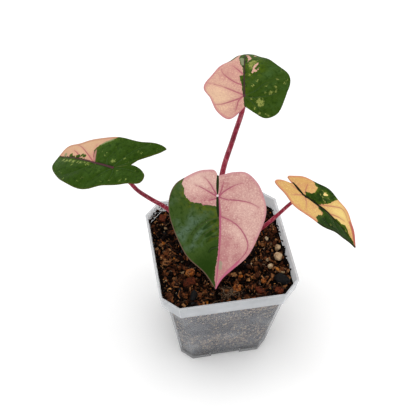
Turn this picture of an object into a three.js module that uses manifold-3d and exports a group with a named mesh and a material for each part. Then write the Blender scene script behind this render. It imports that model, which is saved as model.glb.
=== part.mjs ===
// Potted variegated aroid house plant: a clear square nursery pot, its filling of chunky potting mix,
// a corm with four leaf stalks, and four heart- to arrow-shaped leaf blades.
// Millimetres, +Z up. The origin is the centre of the pot's base, on the surface that it stands on.
// +X is to the right and -Y towards the viewer, with the largest leaf at the front.
import * as THREE from "three";
import { ConvexGeometry } from "three/addons/geometries/ConvexGeometry.js";
import { mergeVertices } from "three/addons/utils/BufferGeometryUtils.js";
import Module from "manifold-3d";

const wasm = await Module();
wasm.setup();

// Driving dimensions
const GAP = 0.3; // between pieces that touch
const POT_HEIGHT = 85.5;
const RIM_HALF = 45; // half the width across the flats of the rim
const RIM_CHAMFER = 10.7; // what the corner takes off each side
const COLLAR_HEIGHT = 11.2;
const COLLAR_HALF = 43.8; // half width at the collar's lower edge
const SHOULDER_HALF = 40.1; // half width of the body just under the collar
const SHOULDER_CHAMFER = 7.7;
const BASE_HALF = 30.2;
const BASE_CHAMFER = 7.2;
const WALL = 1.2;
const CHANNEL_WIDTH = 20; // the raised channel under the middle of each side
const CHANNEL_RISE = 2.5;
const CENTRE_PAD_HALF = 8; // the square pad at foot level between the channels
const DRAIN_RADIUS = 2.5;
const DRAIN_DISTANCE = 17; // from the centre to each drain hole
const SOIL_LEVEL = 77.5; // of the fine mix, between the chips
const CHIP_ROWS = 10;
const CORM_TOP = 70;
const CORM_RADIUS = 8;
const CORM_DEPTH = 22;
const ROOT_RADIUS = 0.9;
const STALK_RING = 4.3; // distance of each stalk's foot from the crown's centre
const BLADE_THICKNESS = 0.8;
const MIDRIB_RELIEF = 0.9; // how far the midrib stands out of the underside at the stalk
const VEIN_RELIEF = 0.25; // how deep the side veins lie in the upper face
const VEINS_A_SIDE = 8;
const SPOKES = 24; // steps round each half of a blade, three between two veins
const VEIN_BOW = 0.16; // how far a side vein bows back towards the lobes, as a share of its length
const LOBE_BOW = -1.2; // in the lobes the veins bow the other way, by this much of that
const RIPPLES = 4.5; // waves along each margin
const STONE_CORNERS = 13;
const SEED = 20;

// A repeatable random number from 0 to 1
function seededRandom(seed) {
  let state = seed;
  return () => {
    state = (state + 0x6d2b79f5) | 0;
    let mixed = Math.imul(state ^ (state >>> 15), 1 | state);
    mixed = (mixed + Math.imul(mixed ^ (mixed >>> 7), 61 | mixed)) ^ mixed;
    return ((mixed ^ (mixed >>> 14)) >>> 0) / 4294967296;
  };
}

// Geometry and solids
function toSolid(geometry) {
  const bare = geometry.clone();
  bare.deleteAttribute("normal");
  bare.deleteAttribute("uv");
  const merged = mergeVertices(bare, 1e-4);
  return new wasm.Manifold(
    new wasm.Mesh({
      numProp: 3,
      vertProperties: merged.attributes.position.array,
      triVerts: new Uint32Array(merged.index.array),
    }),
  );
}

function toGeometry(solid) {
  const mesh = solid.getMesh();
  const geometry = new THREE.BufferGeometry();
  geometry.setAttribute("position", new THREE.BufferAttribute(mesh.vertProperties, 3));
  geometry.setIndex(new THREE.BufferAttribute(mesh.triVerts, 1));
  geometry.computeVertexNormals();
  return geometry;
}

// Cutting can leave a crumb: the piece is what is left of the largest body
function largestBody(solid) {
  const bodies = solid.decompose();
  return bodies.reduce((best, body) => (body.volume() > best.volume() ? body : best));
}

// A closed skin from triangles given as corner points, without the ones that have shrunk to a line.
// Corners are set to the nearest micron, so that those that meet are the same.
function skin(triangles) {
  const positions = [];
  for (const triangle of triangles) {
    const corners = triangle.map((corner) => corner.clone().multiplyScalar(1000).round().divideScalar(1000));
    const [a, b, c] = corners;
    if (a.equals(b) || b.equals(c) || c.equals(a)) continue;
    for (const corner of corners) positions.push(corner.x, corner.y, corner.z);
  }
  const geometry = new THREE.BufferGeometry();
  geometry.setAttribute("position", new THREE.Float32BufferAttribute(positions, 3));
  return geometry;
}

// A solid through convex rings of equally many points, each anticlockwise seen from the last ring's side
function loft(rings) {
  const triangles = [];
  const count = rings[0].length;
  for (let level = 0; level + 1 < rings.length; level++) {
    for (let i = 0; i < count; i++) {
      const next = (i + 1) % count;
      const [a, b] = [rings[level][i], rings[level][next]];
      const [c, d] = [rings[level + 1][next], rings[level + 1][i]];
      triangles.push([a, b, c], [a, c, d]);
    }
  }
  const first = rings[0];
  const last = rings[rings.length - 1];
  for (let i = 1; i + 1 < count; i++) {
    triangles.push([first[0], first[i + 1], first[i]]);
    triangles.push([last[0], last[i], last[i + 1]]);
  }
  return toSolid(skin(triangles));
}

// A round, tapering stem along a curve
function stem(curve, radiusAt, steps, sides) {
  const frames = curve.computeFrenetFrames(steps, false);
  const rings = [];
  for (let k = 0; k <= steps; k++) {
    const centre = curve.getPointAt(k / steps);
    const radius = radiusAt(k / steps);
    const ring = [];
    for (let i = 0; i < sides; i++) {
      const angle = (2 * Math.PI * i) / sides;
      const point = centre.clone();
      point.addScaledVector(frames.normals[k], radius * Math.cos(angle));
      point.addScaledVector(frames.binormals[k], radius * Math.sin(angle));
      ring.push(point);
    }
    rings.push(ring);
  }
  return loft(rings);
}

function box(width, depth, height, x, y, z) {
  return toSolid(new THREE.BoxGeometry(width, depth, height).translate(x, y, z));
}

// Pot
function octagon(half, chamfer, z) {
  const near = half - chamfer;
  const corners = [
    [near, -half],
    [half, -near],
    [half, near],
    [near, half],
    [-near, half],
    [-half, near],
    [-half, -near],
    [-near, -half],
  ];
  return corners.map(([x, y]) => new THREE.Vector3(x, y, z));
}

// The four channels under the base, from the centre pad out past the sides
function drainChannels(width, rise, padHalf) {
  const reach = BASE_HALF + 8;
  const length = reach - padHalf;
  const middle = (reach + padHalf) / 2;
  const below = 5;
  const height = rise + below;
  const z = (rise - below) / 2;
  return box(length, width, height, middle, 0, z)
    .add(box(length, width, height, -middle, 0, z))
    .add(box(width, length, height, 0, middle, z))
    .add(box(width, length, height, 0, -middle, z));
}

// Half width and chamfer of the body's outside at a height
function bodySection(z) {
  const up = z / (POT_HEIGHT - COLLAR_HEIGHT);
  return [
    THREE.MathUtils.lerp(BASE_HALF, SHOULDER_HALF, up),
    THREE.MathUtils.lerp(BASE_CHAMFER, SHOULDER_CHAMFER, up),
  ];
}

// The room inside the pot, drawn in from the outside by a wall and up to a height
function potInside(wall, floor, top) {
  const ledge = POT_HEIGHT - COLLAR_HEIGHT + wall;
  const corner = 0.6 * wall; // a chamfer's edge moves less than the flats do
  const [lowHalf, lowChamfer] = bodySection(floor);
  const room = loft([
    octagon(lowHalf - wall, lowChamfer - corner, floor),
    octagon(SHOULDER_HALF - wall, SHOULDER_CHAMFER - corner, ledge),
    octagon(COLLAR_HALF - wall, RIM_CHAMFER - corner, ledge),
    octagon(RIM_HALF - wall, RIM_CHAMFER - corner, top),
  ]);
  const raised = drainChannels(CHANNEL_WIDTH + 2 * wall, CHANNEL_RISE + floor, CENTRE_PAD_HALF - wall);
  return room.subtract(raised);
}

function makePot() {
  const shoulder = POT_HEIGHT - COLLAR_HEIGHT;
  const outside = loft([
    octagon(BASE_HALF, BASE_CHAMFER, 0),
    octagon(SHOULDER_HALF, SHOULDER_CHAMFER, shoulder),
    octagon(COLLAR_HALF, RIM_CHAMFER, shoulder),
    octagon(RIM_HALF, RIM_CHAMFER, POT_HEIGHT),
  ]);
  const above = POT_HEIGHT + 1;
  let pot = outside
    .subtract(drainChannels(CHANNEL_WIDTH, CHANNEL_RISE, CENTRE_PAD_HALF))
    .subtract(potInside(WALL, WALL, above));
  for (let quarter = 0; quarter < 4; quarter++) {
    const angle = (quarter * Math.PI) / 2;
    const drain = new THREE.CylinderGeometry(DRAIN_RADIUS, DRAIN_RADIUS, 12, 16).rotateX(Math.PI / 2);
    drain.translate(DRAIN_DISTANCE * Math.cos(angle), DRAIN_DISTANCE * Math.sin(angle), 0);
    pot = pot.subtract(toSolid(drain));
  }
  return pot;
}

// Stones, clay and bark
// A rounded, knobbly lump: size is its full width, depth and height
function lump(size, knobbly, detail, random) {
  const ball = new THREE.IcosahedronGeometry(0.5, detail);
  ball.deleteAttribute("normal");
  ball.deleteAttribute("uv");
  const geometry = mergeVertices(ball, 1e-4);
  const position = geometry.attributes.position;
  for (let i = 0; i < position.count; i++) {
    const swell = 1 + knobbly * (2 * random() - 1);
    position.setXYZ(i, swell * position.getX(i), swell * position.getY(i), swell * position.getZ(i));
  }
  return geometry.scale(size[0], size[1], size[2]);
}

// A broken stone with flat sides: the hull of corners spread over an ellipsoid
function stone(size, random) {
  const corners = [];
  const goldenAngle = Math.PI * (3 - Math.sqrt(5));
  for (let k = 0; k < STONE_CORNERS; k++) {
    const height = 1 - (2 * k + 1) / STONE_CORNERS;
    const ring = Math.sqrt(1 - height * height);
    const angle = goldenAngle * k + 1.1 * random();
    const reach = 0.5 * (0.82 + 0.25 * random());
    const corner = new THREE.Vector3(ring * Math.cos(angle), ring * Math.sin(angle), height);
    corners.push(corner.multiplyScalar(reach));
  }
  return new ConvexGeometry(corners).scale(size[0], size[1], size[2]);
}

// A split flake of bark: a slab with uneven corners
function flake(size, random) {
  const slab = new THREE.BoxGeometry(1, 1, 1);
  slab.deleteAttribute("normal");
  slab.deleteAttribute("uv");
  const geometry = mergeVertices(slab, 1e-4);
  const position = geometry.attributes.position;
  for (let i = 0; i < position.count; i++) {
    const pinch = 0.7 + 0.3 * random();
    position.setXYZ(i, pinch * position.getX(i), pinch * position.getY(i), position.getZ(i));
  }
  return geometry.scale(size[0], size[1], size[2]);
}

function place(geometry, at, tilt, turn) {
  return geometry.rotateX(tilt).rotateZ(turn).translate(at[0], at[1], at[2]);
}

// The larger lumps that lie on the mix, each with its middle and its full size
const TOP_PIECES = [
  { name: "charcoal_large", kind: "charcoal", at: [35.4, -29, 80.5], size: [14, 9, 8], turn: -0.35 },
  { name: "charcoal_small", kind: "charcoal", at: [-22.8, -32, 79.8], size: [5.5, 11, 6], turn: -0.36 },
  { name: "pumice_large", kind: "pumice", at: [37, -11, 80.8], size: [7.6, 7.6, 7], turn: 0.4 },
  { name: "pumice_back", kind: "pumice", at: [38.2, -3.2, 80.4], size: [5.6, 5.2, 4.8], turn: 0.9 },
  { name: "pumice_front", kind: "pumice", at: [30.2, -17, 80], size: [5.2, 4.6, 4.4], turn: 0.2 },
  { name: "clay_front", kind: "clay", at: [5.3, -30.8, 80], size: [6.4, 6, 5.4], turn: 0.3 },
  { name: "clay_pellet", kind: "clay", at: [23.5, -28, 80], size: [3.6, 3.6, 3.6], turn: 0 },
  { name: "clay_left", kind: "clay", at: [-22.2, -14.2, 80.4], size: [6.8, 5.8, 5.4], turn: 0.7 },
  { name: "bark_left", kind: "bark", at: [-24.3, -21.2, 79.8], size: [9.5, 6.2, 4.5], turn: 0.2, tilt: 0.3 },
  { name: "bark_front", kind: "bark", at: [19.5, -35.2, 79.8], size: [5.5, 7, 3.6], turn: 0.2, tilt: -0.25 },
  { name: "bark_corner", kind: "bark", at: [31.4, -37.2, 80], size: [6.4, 4.8, 3.4], turn: -0.5, tilt: 0.3 },
  { name: "bark_back", kind: "bark", at: [-33.8, 33.5, 80], size: [6.5, 5.5, 4], turn: 1.2, tilt: 0.2 },
];
const KNOBBLY_CLAY = 0.1; // how much its bumps stand out, as a share of its half width

// The same lump again with room round it, for its socket in the mix
function topPiece(piece, room) {
  const random = seededRandom(SEED + piece.name.length * 7 + Math.round(piece.at[0]));
  const size = piece.size.map((length) => length + 2 * room);
  let geometry;
  if (piece.kind === "bark") {
    geometry = flake(size, random);
  } else if (piece.kind === "clay") {
    geometry = lump(size, KNOBBLY_CLAY, 1, random);
  } else {
    geometry = stone(size, random);
  }
  return toSolid(place(geometry, piece.at, piece.tilt ?? 0, piece.turn));
}

// Corm and roots
function cormBody(room) {
  const radius = CORM_RADIUS + room;
  const profile = [];
  const rounds = 7;
  for (let k = 0; k <= rounds; k++) {
    const angle = -Math.PI / 2 + (k / rounds) * 0.75 * Math.PI;
    profile.push(new THREE.Vector2(
      Math.max(0, radius * Math.cos(angle)),
      CORM_TOP - CORM_DEPTH / 2 + (CORM_DEPTH / 2 + room) * Math.sin(angle),
    ));
  }
  profile[0].x = 0;
  profile.push(new THREE.Vector2(radius * 0.92, CORM_TOP + room));
  profile.push(new THREE.Vector2(0, CORM_TOP + room));
  return toSolid(new THREE.LatheGeometry(profile, 14).rotateX(Math.PI / 2));
}

function makeCorm(room) {
  let corm = cormBody(room);
  const roots = 6;
  for (let k = 0; k < roots; k++) {
    const angle = (2 * Math.PI * (k + 0.3)) / roots;
    const reach = 16 + 3 * (k % 3);
    const along = (distance, z) =>
      new THREE.Vector3(distance * Math.cos(angle), distance * Math.sin(angle), z);
    const curve = new THREE.CatmullRomCurve3([
      along(2, CORM_TOP - 14),
      along(9, CORM_TOP - 17),
      along(reach, CORM_TOP - 30),
      along(reach + 2, CORM_TOP - 46 - 1.5 * room),
    ]);
    const thin = (t) => ROOT_RADIUS * (1.25 - 0.5 * t) + room;
    corm = corm.add(stem(curve, thin, 7, 6));
  }
  return corm;
}

// Leaves
// azimuth: plan direction of the tip, anticlockwise from +X, in degrees.
// pitch: how far the blade falls towards its tip where the stalk joins, in degrees.
// roll: how far its left half is raised, seen from above with the tip ahead, in degrees.
// tipRadius, lobeRadius: how the midrib arches ahead of the stalk and behind it. A minus bends upwards.
// fold, foldRadius: the angle at which each half leaves the midrib, and how it then bends down.
// sway: how far the midrib bows to the left on its way to the tip.
// notch and tip are [along, across] from the stalk. The outlines run from notch to tip, left is +across.
const LEAVES = [
  {
    name: "front",
    join: [-4.6, -7.7, 146],
    azimuth: -100.7, pitch: 42, roll: 0,
    tipRadius: 180, lobeRadius: 250, fold: 5, foldRadius: 165,
    wave: 0.7,
    sway: 2,
    notch: [-12, 0],
    tip: [58.5, 0],
    left: [
      [-13, 5.5], [-15.5, 11.5], [-9, 23], [-1, 27.5], [8, 29.5], [22, 26], [37.5, 18], [50.5, 4.5],
    ],
    right: [
      [-16, -4.5], [-15, -12], [-8.5, -24.5], [-1, -28.5], [8, -29.5], [19.5, -26.5], [35.5, -19],
      [48.5, -6.5],
    ],
    stalk: [[-1.5, -3, 100], [-3.8, -3.6, 130]],
    stalkRadius: [2.3, 1.5],
    foot: -Math.PI / 2,
  },
  {
    name: "top",
    join: [18.3, 33.6, 186],
    azimuth: 88, pitch: -48, roll: -10,
    tipRadius: 25, lobeRadius: -85, fold: -12, foldRadius: 250,
    wave: 0.5,
    sway: 0,
    notch: [-6.5, 0],
    tip: [46, -3],
    left: [[-10, 4.5], [-13, 11], [-8, 17.5], [1, 22], [8, 25], [15, 23], [24, 15.5], [33.5, 6]],
    right: [
      [-11, -6], [-14, -12.5], [-12, -19.5], [-4.5, -24.5], [4, -28.5], [12, -29], [20, -26], [35, -11.5],
    ],
    stalk: [[2.2, 12, 92], [4.9, 26, 125], [12.6, 31.8, 153], [17.7, 33.4, 174.5]],
    stalkRadius: [2.5, 1.5],
    foot: Math.PI / 2,
  },
  {
    name: "left",
    join: [-64.4, 17.3, 155],
    azimuth: 142, pitch: 11, roll: -8,
    tipRadius: 111, lobeRadius: -125, fold: 4, foldRadius: 250,
    wave: 0.6,
    sway: 0.5,
    notch: [-10, -4.5],
    tip: [49, -4.5],
    left: [
      [-16, -3.5], [-24, 1], [-25, 7.5], [-14, 10], [-2.5, 14], [7, 19.5], [17, 20], [33.5, 15],
      [45, 7.5], [48.5, 1.5],
    ],
    right: [
      [-13.9, -9.4], [-20, -13.8], [-25.4, -17.8], [-28.1, -20.1], [-25, -21.7], [-14.5, -22.8], [3, -22],
      [16, -21], [31, -15], [44.5, -12.5],
    ],
    stalk: [[-32.2, 14.6, 112.8], [-41.8, 16.2, 121.9], [-50.2, 16.4, 131.9], [-55, 16.4, 140.7]],
    stalkRadius: [2.2, 1.2],
    foot: Math.PI,
  },
  {
    name: "right",
    join: [51.8, -2.3, 130],
    azimuth: -44, pitch: 12, roll: -18,
    tipRadius: 71, lobeRadius: 500, fold: 8, foldRadius: 250,
    wave: 0.5,
    sway: 0.3,
    notch: [-10, 3.5],
    tip: [47.5, 5.5],
    left: [[-16, 7.5], [-11, 12.5], [-3, 16], [5, 18], [14, 18.5], [24, 17], [34.5, 14], [42, 9]],
    right: [[-15, 0], [-18.5, -6], [-12.5, -10], [-3.5, -16], [4, -17.5], [12, -17.5], [22, -13], [36, -2.5]],
    stalk: [[27.6, 0, 100], [36.4, 0.2, 110], [45.2, 0.6, 120.5]],
    stalkRadius: [2.1, 1.2],
    foot: 0,
  },
];

// The directions of a blade at its stalk: towards the tip, to the left, and out of the upper face
function bladeDirections(leaf) {
  const azimuth = THREE.MathUtils.degToRad(leaf.azimuth);
  const pitch = THREE.MathUtils.degToRad(leaf.pitch);
  const roll = THREE.MathUtils.degToRad(leaf.roll);
  const ahead = new THREE.Vector3(
    Math.cos(azimuth) * Math.cos(pitch),
    Math.sin(azimuth) * Math.cos(pitch),
    -Math.sin(pitch),
  );
  const level = new THREE.Vector3(-Math.sin(azimuth), Math.cos(azimuth), 0);
  const left = level.applyAxisAngle(ahead, roll);
  const out = new THREE.Vector3().crossVectors(ahead, left);
  return { ahead, left, out };
}

// How far to the left the middle line lies, from the notch through the stalk to the tip
function middle(leaf, along) {
  if (along < 0) return (leaf.notch[1] * along) / leaf.notch[0];
  const ahead = Math.min(1, along / leaf.tip[0]);
  return leaf.tip[1] * ahead + leaf.sway * Math.sin(Math.PI * ahead ** 0.7);
}

// Where a point of the flat blade lies once the blade is arched and folded, and its normal there
function bend(leaf, along, across) {
  const { ahead, left, out } = bladeDirections(leaf);
  const radius = along > 0 ? leaf.tipRadius : leaf.lobeRadius;
  const arch = along / radius;
  const fold = THREE.MathUtils.degToRad(leaf.fold);
  const crease = middle(leaf, along);
  const slope = fold - Math.abs(across - crease) / leaf.foldRadius;
  const side = Math.sign(across - crease);
  const reach = leaf.foldRadius * (Math.sin(fold) - Math.sin(slope));
  const lift = leaf.foldRadius * (Math.cos(slope) - Math.cos(fold));
  const forward = radius * Math.sin(arch) + lift * Math.sin(arch);
  const height = -radius * (1 - Math.cos(arch)) + lift * Math.cos(arch);
  const point = new THREE.Vector3(...leaf.join)
    .addScaledVector(ahead, forward)
    .addScaledVector(left, crease + side * reach)
    .addScaledVector(out, height);
  const normal = new THREE.Vector3()
    .addScaledVector(out, Math.cos(slope) * Math.cos(arch))
    .addScaledVector(ahead, Math.cos(slope) * Math.sin(arch))
    .addScaledVector(left, -side * Math.sin(slope));
  return { point, normal };
}

// Where a side vein starts: up the seam behind the stalk, at the stalk itself, then along the midrib
const SEAM_END = 2 / VEINS_A_SIDE;
const FAN_END = 4 / VEINS_A_SIDE;
function veinStart(leaf, t) {
  if (t < SEAM_END) {
    const back = leaf.notch[0] * (1 - t / SEAM_END);
    return new THREE.Vector2(back, middle(leaf, back));
  }
  const ahead = leaf.tip[0] * Math.max(0, (t - FAN_END) / (1 - FAN_END));
  return new THREE.Vector2(ahead, middle(leaf, ahead));
}

// How much of the way from midrib to margin each row of points lies
const ROWS = [0, 0.06, 0.22, 0.42, 0.62, 0.82, 1];

// A blade with its upper face lifted and its lower face lowered by the given amounts
function makeBlade(leaf, above, below) {
  const triangles = [];
  for (const side of [1, -1]) {
    const outline = [leaf.notch, ...(side > 0 ? leaf.left : leaf.right), leaf.tip];
    const margin = new THREE.CatmullRomCurve3(outline.map(([x, y]) => new THREE.Vector3(x, y, 0)));
    margin.arcLengthDivisions = 400;
    const spokes = [];
    for (let k = 0; k <= SPOKES; k++) {
      const t = k / SPOKES;
      const start = veinStart(leaf, t);
      const end = k === 0 || k === SPOKES ? start : margin.getPointAt(t);
      const span = Math.hypot(end.x - start.x, end.y - start.y);
      const between = Math.sin(Math.PI * VEINS_A_SIDE * t) ** 2;
      const forward = THREE.MathUtils.clamp((t - SEAM_END) / (FAN_END - SEAM_END), 0, 1);
      const bowed = VEIN_BOW * THREE.MathUtils.lerp(LOBE_BOW, 1, forward);
      const spoke = ROWS.map((row) => {
        const bow = bowed * span * 2 * row * (1 - row);
        const x = start.x + (end.x - start.x) * row - bow;
        const y = start.y + (end.y - start.y) * row;
        const { point, normal } = bend(leaf, x, y);
        const reach = Math.min(1, span / 12);
        const quilt = VEIN_RELIEF * (2 * between - 1) * 4 * row * (1 - row) * reach;
        const ripple = leaf.wave * row * row * Math.sin(2 * Math.PI * RIPPLES * t + side) * reach;
        const endward = x / (x > 0 ? leaf.tip[0] : leaf.notch[0]);
        const rib = row === 0 ? MIDRIB_RELIEF * (1 - endward) : 0;
        point.addScaledVector(normal, quilt + ripple);
        const upper = point.clone().addScaledVector(normal, above);
        const lower = point.clone().addScaledVector(normal, -below - rib);
        return { upper, lower };
      });
      spokes.push(spoke);
    }
    const put = (a, b, c) => triangles.push(side > 0 ? [a, b, c] : [a, c, b]);
    for (let k = 0; k < SPOKES; k++) {
      for (let row = 0; row + 1 < ROWS.length; row++) {
        const a = spokes[k][row];
        const b = spokes[k][row + 1];
        const c = spokes[k + 1][row + 1];
        const d = spokes[k + 1][row];
        put(a.upper, c.upper, b.upper);
        put(a.upper, d.upper, c.upper);
        put(a.lower, b.lower, c.lower);
        put(a.lower, c.lower, d.lower);
      }
      const edge = spokes[k][ROWS.length - 1];
      const nextEdge = spokes[k + 1][ROWS.length - 1];
      put(edge.upper, nextEdge.upper, nextEdge.lower);
      put(edge.upper, nextEdge.lower, edge.lower);
    }
  }
  return toSolid(skin(triangles));
}

// A stalk from the crown to the underside of its blade
function makeStalk(leaf, room) {
  const foot = [STALK_RING * Math.cos(leaf.foot), STALK_RING * Math.sin(leaf.foot)];
  const curve = new THREE.CatmullRomCurve3([
    new THREE.Vector3(foot[0], foot[1], CORM_TOP - 5),
    new THREE.Vector3(foot[0] * 1.2, foot[1] * 1.2, CORM_TOP + 8),
    ...leaf.stalk.map((point) => new THREE.Vector3(...point)),
    new THREE.Vector3(...leaf.join),
  ]);
  const [low, high] = leaf.stalkRadius;
  const radiusAt = (t) => THREE.MathUtils.lerp(low, high, Math.sqrt(t)) + room;
  return stem(curve, radiusAt, 16, 10).trimByPlane([0, 0, 1], CORM_TOP + GAP - room);
}

// Potting mix
function makeMix(neighbours) {
  const random = seededRandom(SEED);
  const wall = WALL + GAP;
  const above = POT_HEIGHT + 1;
  const room = potInside(wall, wall, above);
  const upTo = box(2 * RIM_HALF, 2 * RIM_HALF, SOIL_LEVEL, 0, 0, SOIL_LEVEL / 2);
  let mix = room.intersect(upTo);
  const reach = RIM_HALF - wall - 2;
  const pitch = (2 * reach) / (CHIP_ROWS - 1);
  let chips = null;
  for (let row = 0; row < CHIP_ROWS; row++) {
    for (let column = 0; column < CHIP_ROWS; column++) {
      const x = -reach + pitch * (column + 0.7 * (random() - 0.5));
      const y = -reach + pitch * (row + 0.7 * (random() - 0.5));
      const length = 7 + 5 * random();
      const width = length * (0.55 + 0.3 * random());
      const height = 4 + 2.5 * random();
      const z = SOIL_LEVEL + 0.4 + 1.2 * random() - 0.25 * height;
      const tilt = 0.9 * (random() - 0.5);
      const turn = Math.PI * random();
      const inCorner = Math.abs(x) + Math.abs(y) > 2 * reach - RIM_CHAMFER;
      const size = [length, width, height];
      const geometry = random() < 0.55 ? flake(size, random) : lump(size, 0.15, 0, random);
      if (inCorner) continue;
      const chip = toSolid(place(geometry, [x, y, z], tilt, turn));
      chips = chips ? chips.add(chip) : chip;
    }
  }
  mix = mix.add(chips.intersect(room));
  for (const neighbour of neighbours) mix = mix.subtract(neighbour);
  return largestBody(mix);
}

// Finishes
const finishes = {
  pot: { color: 0xb9bdc4, roughness: 0.45, transparent: true, opacity: 0.7 },
  mix: { color: 0x33211a, roughness: 0.95 },
  corm: { color: 0x6d4a35, roughness: 0.8 },
  stalk: { color: 0x9b2448, roughness: 0.4 },
  pinkBlade: { color: 0xd9a3a0, roughness: 0.45 },
  greenBlade: { color: 0x3c5f26, roughness: 0.4 },
  creamBlade: { color: 0xdcb463, roughness: 0.45 },
  charcoal: { color: 0x25272a, roughness: 0.6 },
  pumice: { color: 0xd8cdb6, roughness: 0.9 },
  clay: { color: 0xb0702f, roughness: 0.85 },
  bark: { color: 0x84452a, roughness: 0.85 },
};
const BLADE_FINISH = { front: "pinkBlade", top: "greenBlade", left: "greenBlade", right: "creamBlade" };

const group = new THREE.Group();
function addMesh(name, solid, finish) {
  const material = new THREE.MeshStandardMaterial({ metalness: 0, ...finishes[finish] });
  const mesh = new THREE.Mesh(toGeometry(solid), material);
  mesh.name = name;
  group.add(mesh);
}

addMesh("pot", makePot(), "pot");
const holes = [makeCorm(GAP)];
for (const leaf of LEAVES) holes.push(makeStalk(leaf, GAP));
for (const piece of TOP_PIECES) holes.push(topPiece(piece, GAP));
addMesh("potting_mix", makeMix(holes), "mix");
addMesh("corm_with_roots", makeCorm(0), "corm");
for (const leaf of LEAVES) {
  const blade = makeBlade(leaf, 0, BLADE_THICKNESS);
  const trim = makeBlade(leaf, 4, BLADE_THICKNESS + GAP);
  addMesh("petiole_" + leaf.name, largestBody(makeStalk(leaf, 0).subtract(trim)), "stalk");
  addMesh("blade_" + leaf.name, blade, BLADE_FINISH[leaf.name]);
}
for (const piece of TOP_PIECES) addMesh(piece.name, topPiece(piece, 0), piece.kind);

export default group;
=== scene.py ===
import math

import bpy
import numpy as np
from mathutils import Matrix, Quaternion, Vector
from mathutils.bvhtree import BVHTree


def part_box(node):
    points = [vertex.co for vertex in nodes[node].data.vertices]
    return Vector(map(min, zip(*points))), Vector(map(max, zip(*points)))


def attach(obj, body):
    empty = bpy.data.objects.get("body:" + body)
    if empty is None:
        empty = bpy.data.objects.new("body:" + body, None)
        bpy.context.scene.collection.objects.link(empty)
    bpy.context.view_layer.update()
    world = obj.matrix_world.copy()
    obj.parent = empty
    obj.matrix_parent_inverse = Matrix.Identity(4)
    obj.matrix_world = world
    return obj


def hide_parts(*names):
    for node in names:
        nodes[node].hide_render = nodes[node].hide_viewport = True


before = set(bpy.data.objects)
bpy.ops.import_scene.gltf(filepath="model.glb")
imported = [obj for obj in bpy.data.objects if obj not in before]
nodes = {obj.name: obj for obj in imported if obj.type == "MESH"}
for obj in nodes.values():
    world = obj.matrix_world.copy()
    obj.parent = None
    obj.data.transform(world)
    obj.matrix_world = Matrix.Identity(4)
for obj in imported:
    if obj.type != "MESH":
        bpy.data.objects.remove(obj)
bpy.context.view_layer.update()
MM = 0.001

# Camera
LOOK_AT = Vector((-8.756, 0, 126.325)) * MM
CAMERA_AZIMUTH = math.radians(-10.973)
CAMERA_ELEVATION = math.radians(49.897)
CAMERA_ROLL = math.radians(1.267)
CAMERA_DISTANCE = 569.66 * MM
CAMERA_LENS = 79.43


def set_up_camera():
    back = Vector((
        math.sin(CAMERA_AZIMUTH) * math.cos(CAMERA_ELEVATION),
        -math.cos(CAMERA_AZIMUTH) * math.cos(CAMERA_ELEVATION),
        math.sin(CAMERA_ELEVATION),
    ))
    bpy.ops.object.camera_add(location=LOOK_AT + back * CAMERA_DISTANCE)
    camera = bpy.context.object
    camera.name = "camera"
    turn = (-back).to_track_quat("-Z", "Y") @ Quaternion((0, 0, 1), CAMERA_ROLL)
    camera.rotation_euler = turn.to_euler()
    camera.data.lens = CAMERA_LENS
    camera.data.sensor_width = 36
    camera.data.clip_start = 0.01
    bpy.context.scene.camera = camera


# Shader helpers
def tint(red, green, blue):
    """A colour given as screen values from 0 to 255."""
    def linear(value):
        value /= 255
        return value / 12.92 if value <= 0.04045 else ((value + 0.055) / 1.055) ** 2.4
    return (linear(red), linear(green), linear(blue), 1)


def connect(tree, socket, value):
    """Feeds a socket with a plain value or with the output of another node."""
    if isinstance(value, bpy.types.NodeSocket):
        tree.links.new(value, socket)
    else:
        socket.default_value = value


def feed(tree, sockets, **values):
    """Connects sockets by their names, in which an underscore stands for a space."""
    for name, value in values.items():
        connect(tree, sockets[name.replace("_", " ")], value)


def add(tree, kind, settings=None, **inputs):
    node = tree.nodes.new("ShaderNode" + kind)
    for name, value in (settings or {}).items():
        setattr(node, name, value)
    feed(tree, node.inputs, **inputs)
    return node


def calc(tree, operation, *values, clamp=False):
    node = add(tree, "Math", {"operation": operation, "use_clamp": clamp})
    for socket, value in zip(node.inputs, values):
        connect(tree, socket, value)
    return node.outputs[0]


def times(tree, first, *others):
    for other in others:
        first = calc(tree, "MULTIPLY", first, other)
    return first


def largest(tree, first, *others):
    for other in others:
        first = calc(tree, "MAXIMUM", first, other)
    return first


def blend(tree, amount, low, high):
    """One colour over another, by an amount from 0 to 1."""
    node = add(tree, "Mix", {"data_type": "RGBA"})
    # Input 0 of a Mix node is the amount, and 6 and 7 are its colours
    for place, value in ((0, amount), (6, low), (7, high)):
        connect(tree, node.inputs[place], value)
    return node.outputs[2]


def lay_over(tree, colour, *layers):
    """Lays tones over a colour one after another; each is (where it lies, how dense, tone)."""
    for cover, density, tone in layers:
        colour = blend(tree, times(tree, cover, density), colour, tone)
    return colour


def ramp(tree, value, low, high, to_low=0.0, to_high=1.0):
    """A soft step as a value goes from low to high."""
    node = add(tree, "MapRange", {"interpolation_type": "SMOOTHSTEP"})
    for socket, number in zip(node.inputs, (value, low, high, to_low, to_high)):
        connect(tree, socket, number)
    return node.outputs[0]


def noise(tree, place, scale, detail=2.0, roughness=0.5, distortion=0.0):
    return add(tree, "TexNoise", Vector=place, Scale=scale, Detail=detail, Roughness=roughness,
               Distortion=distortion).outputs["Fac"]


def attributes(tree, *names):
    return [add(tree, "Attribute", {"attribute_name": name}).outputs["Fac"] for name in names]


def flat_place(tree):
    """Where a point lay on the flat blade, in millimetres."""
    return add(tree, "Attribute", {"attribute_name": "flat"}).outputs["Vector"]


def object_place(tree, stretch=(1, 1, 1)):
    place = add(tree, "TexCoord").outputs["Object"]
    return add(tree, "Mapping", Vector=place, Scale=stretch).outputs["Vector"]


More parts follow.
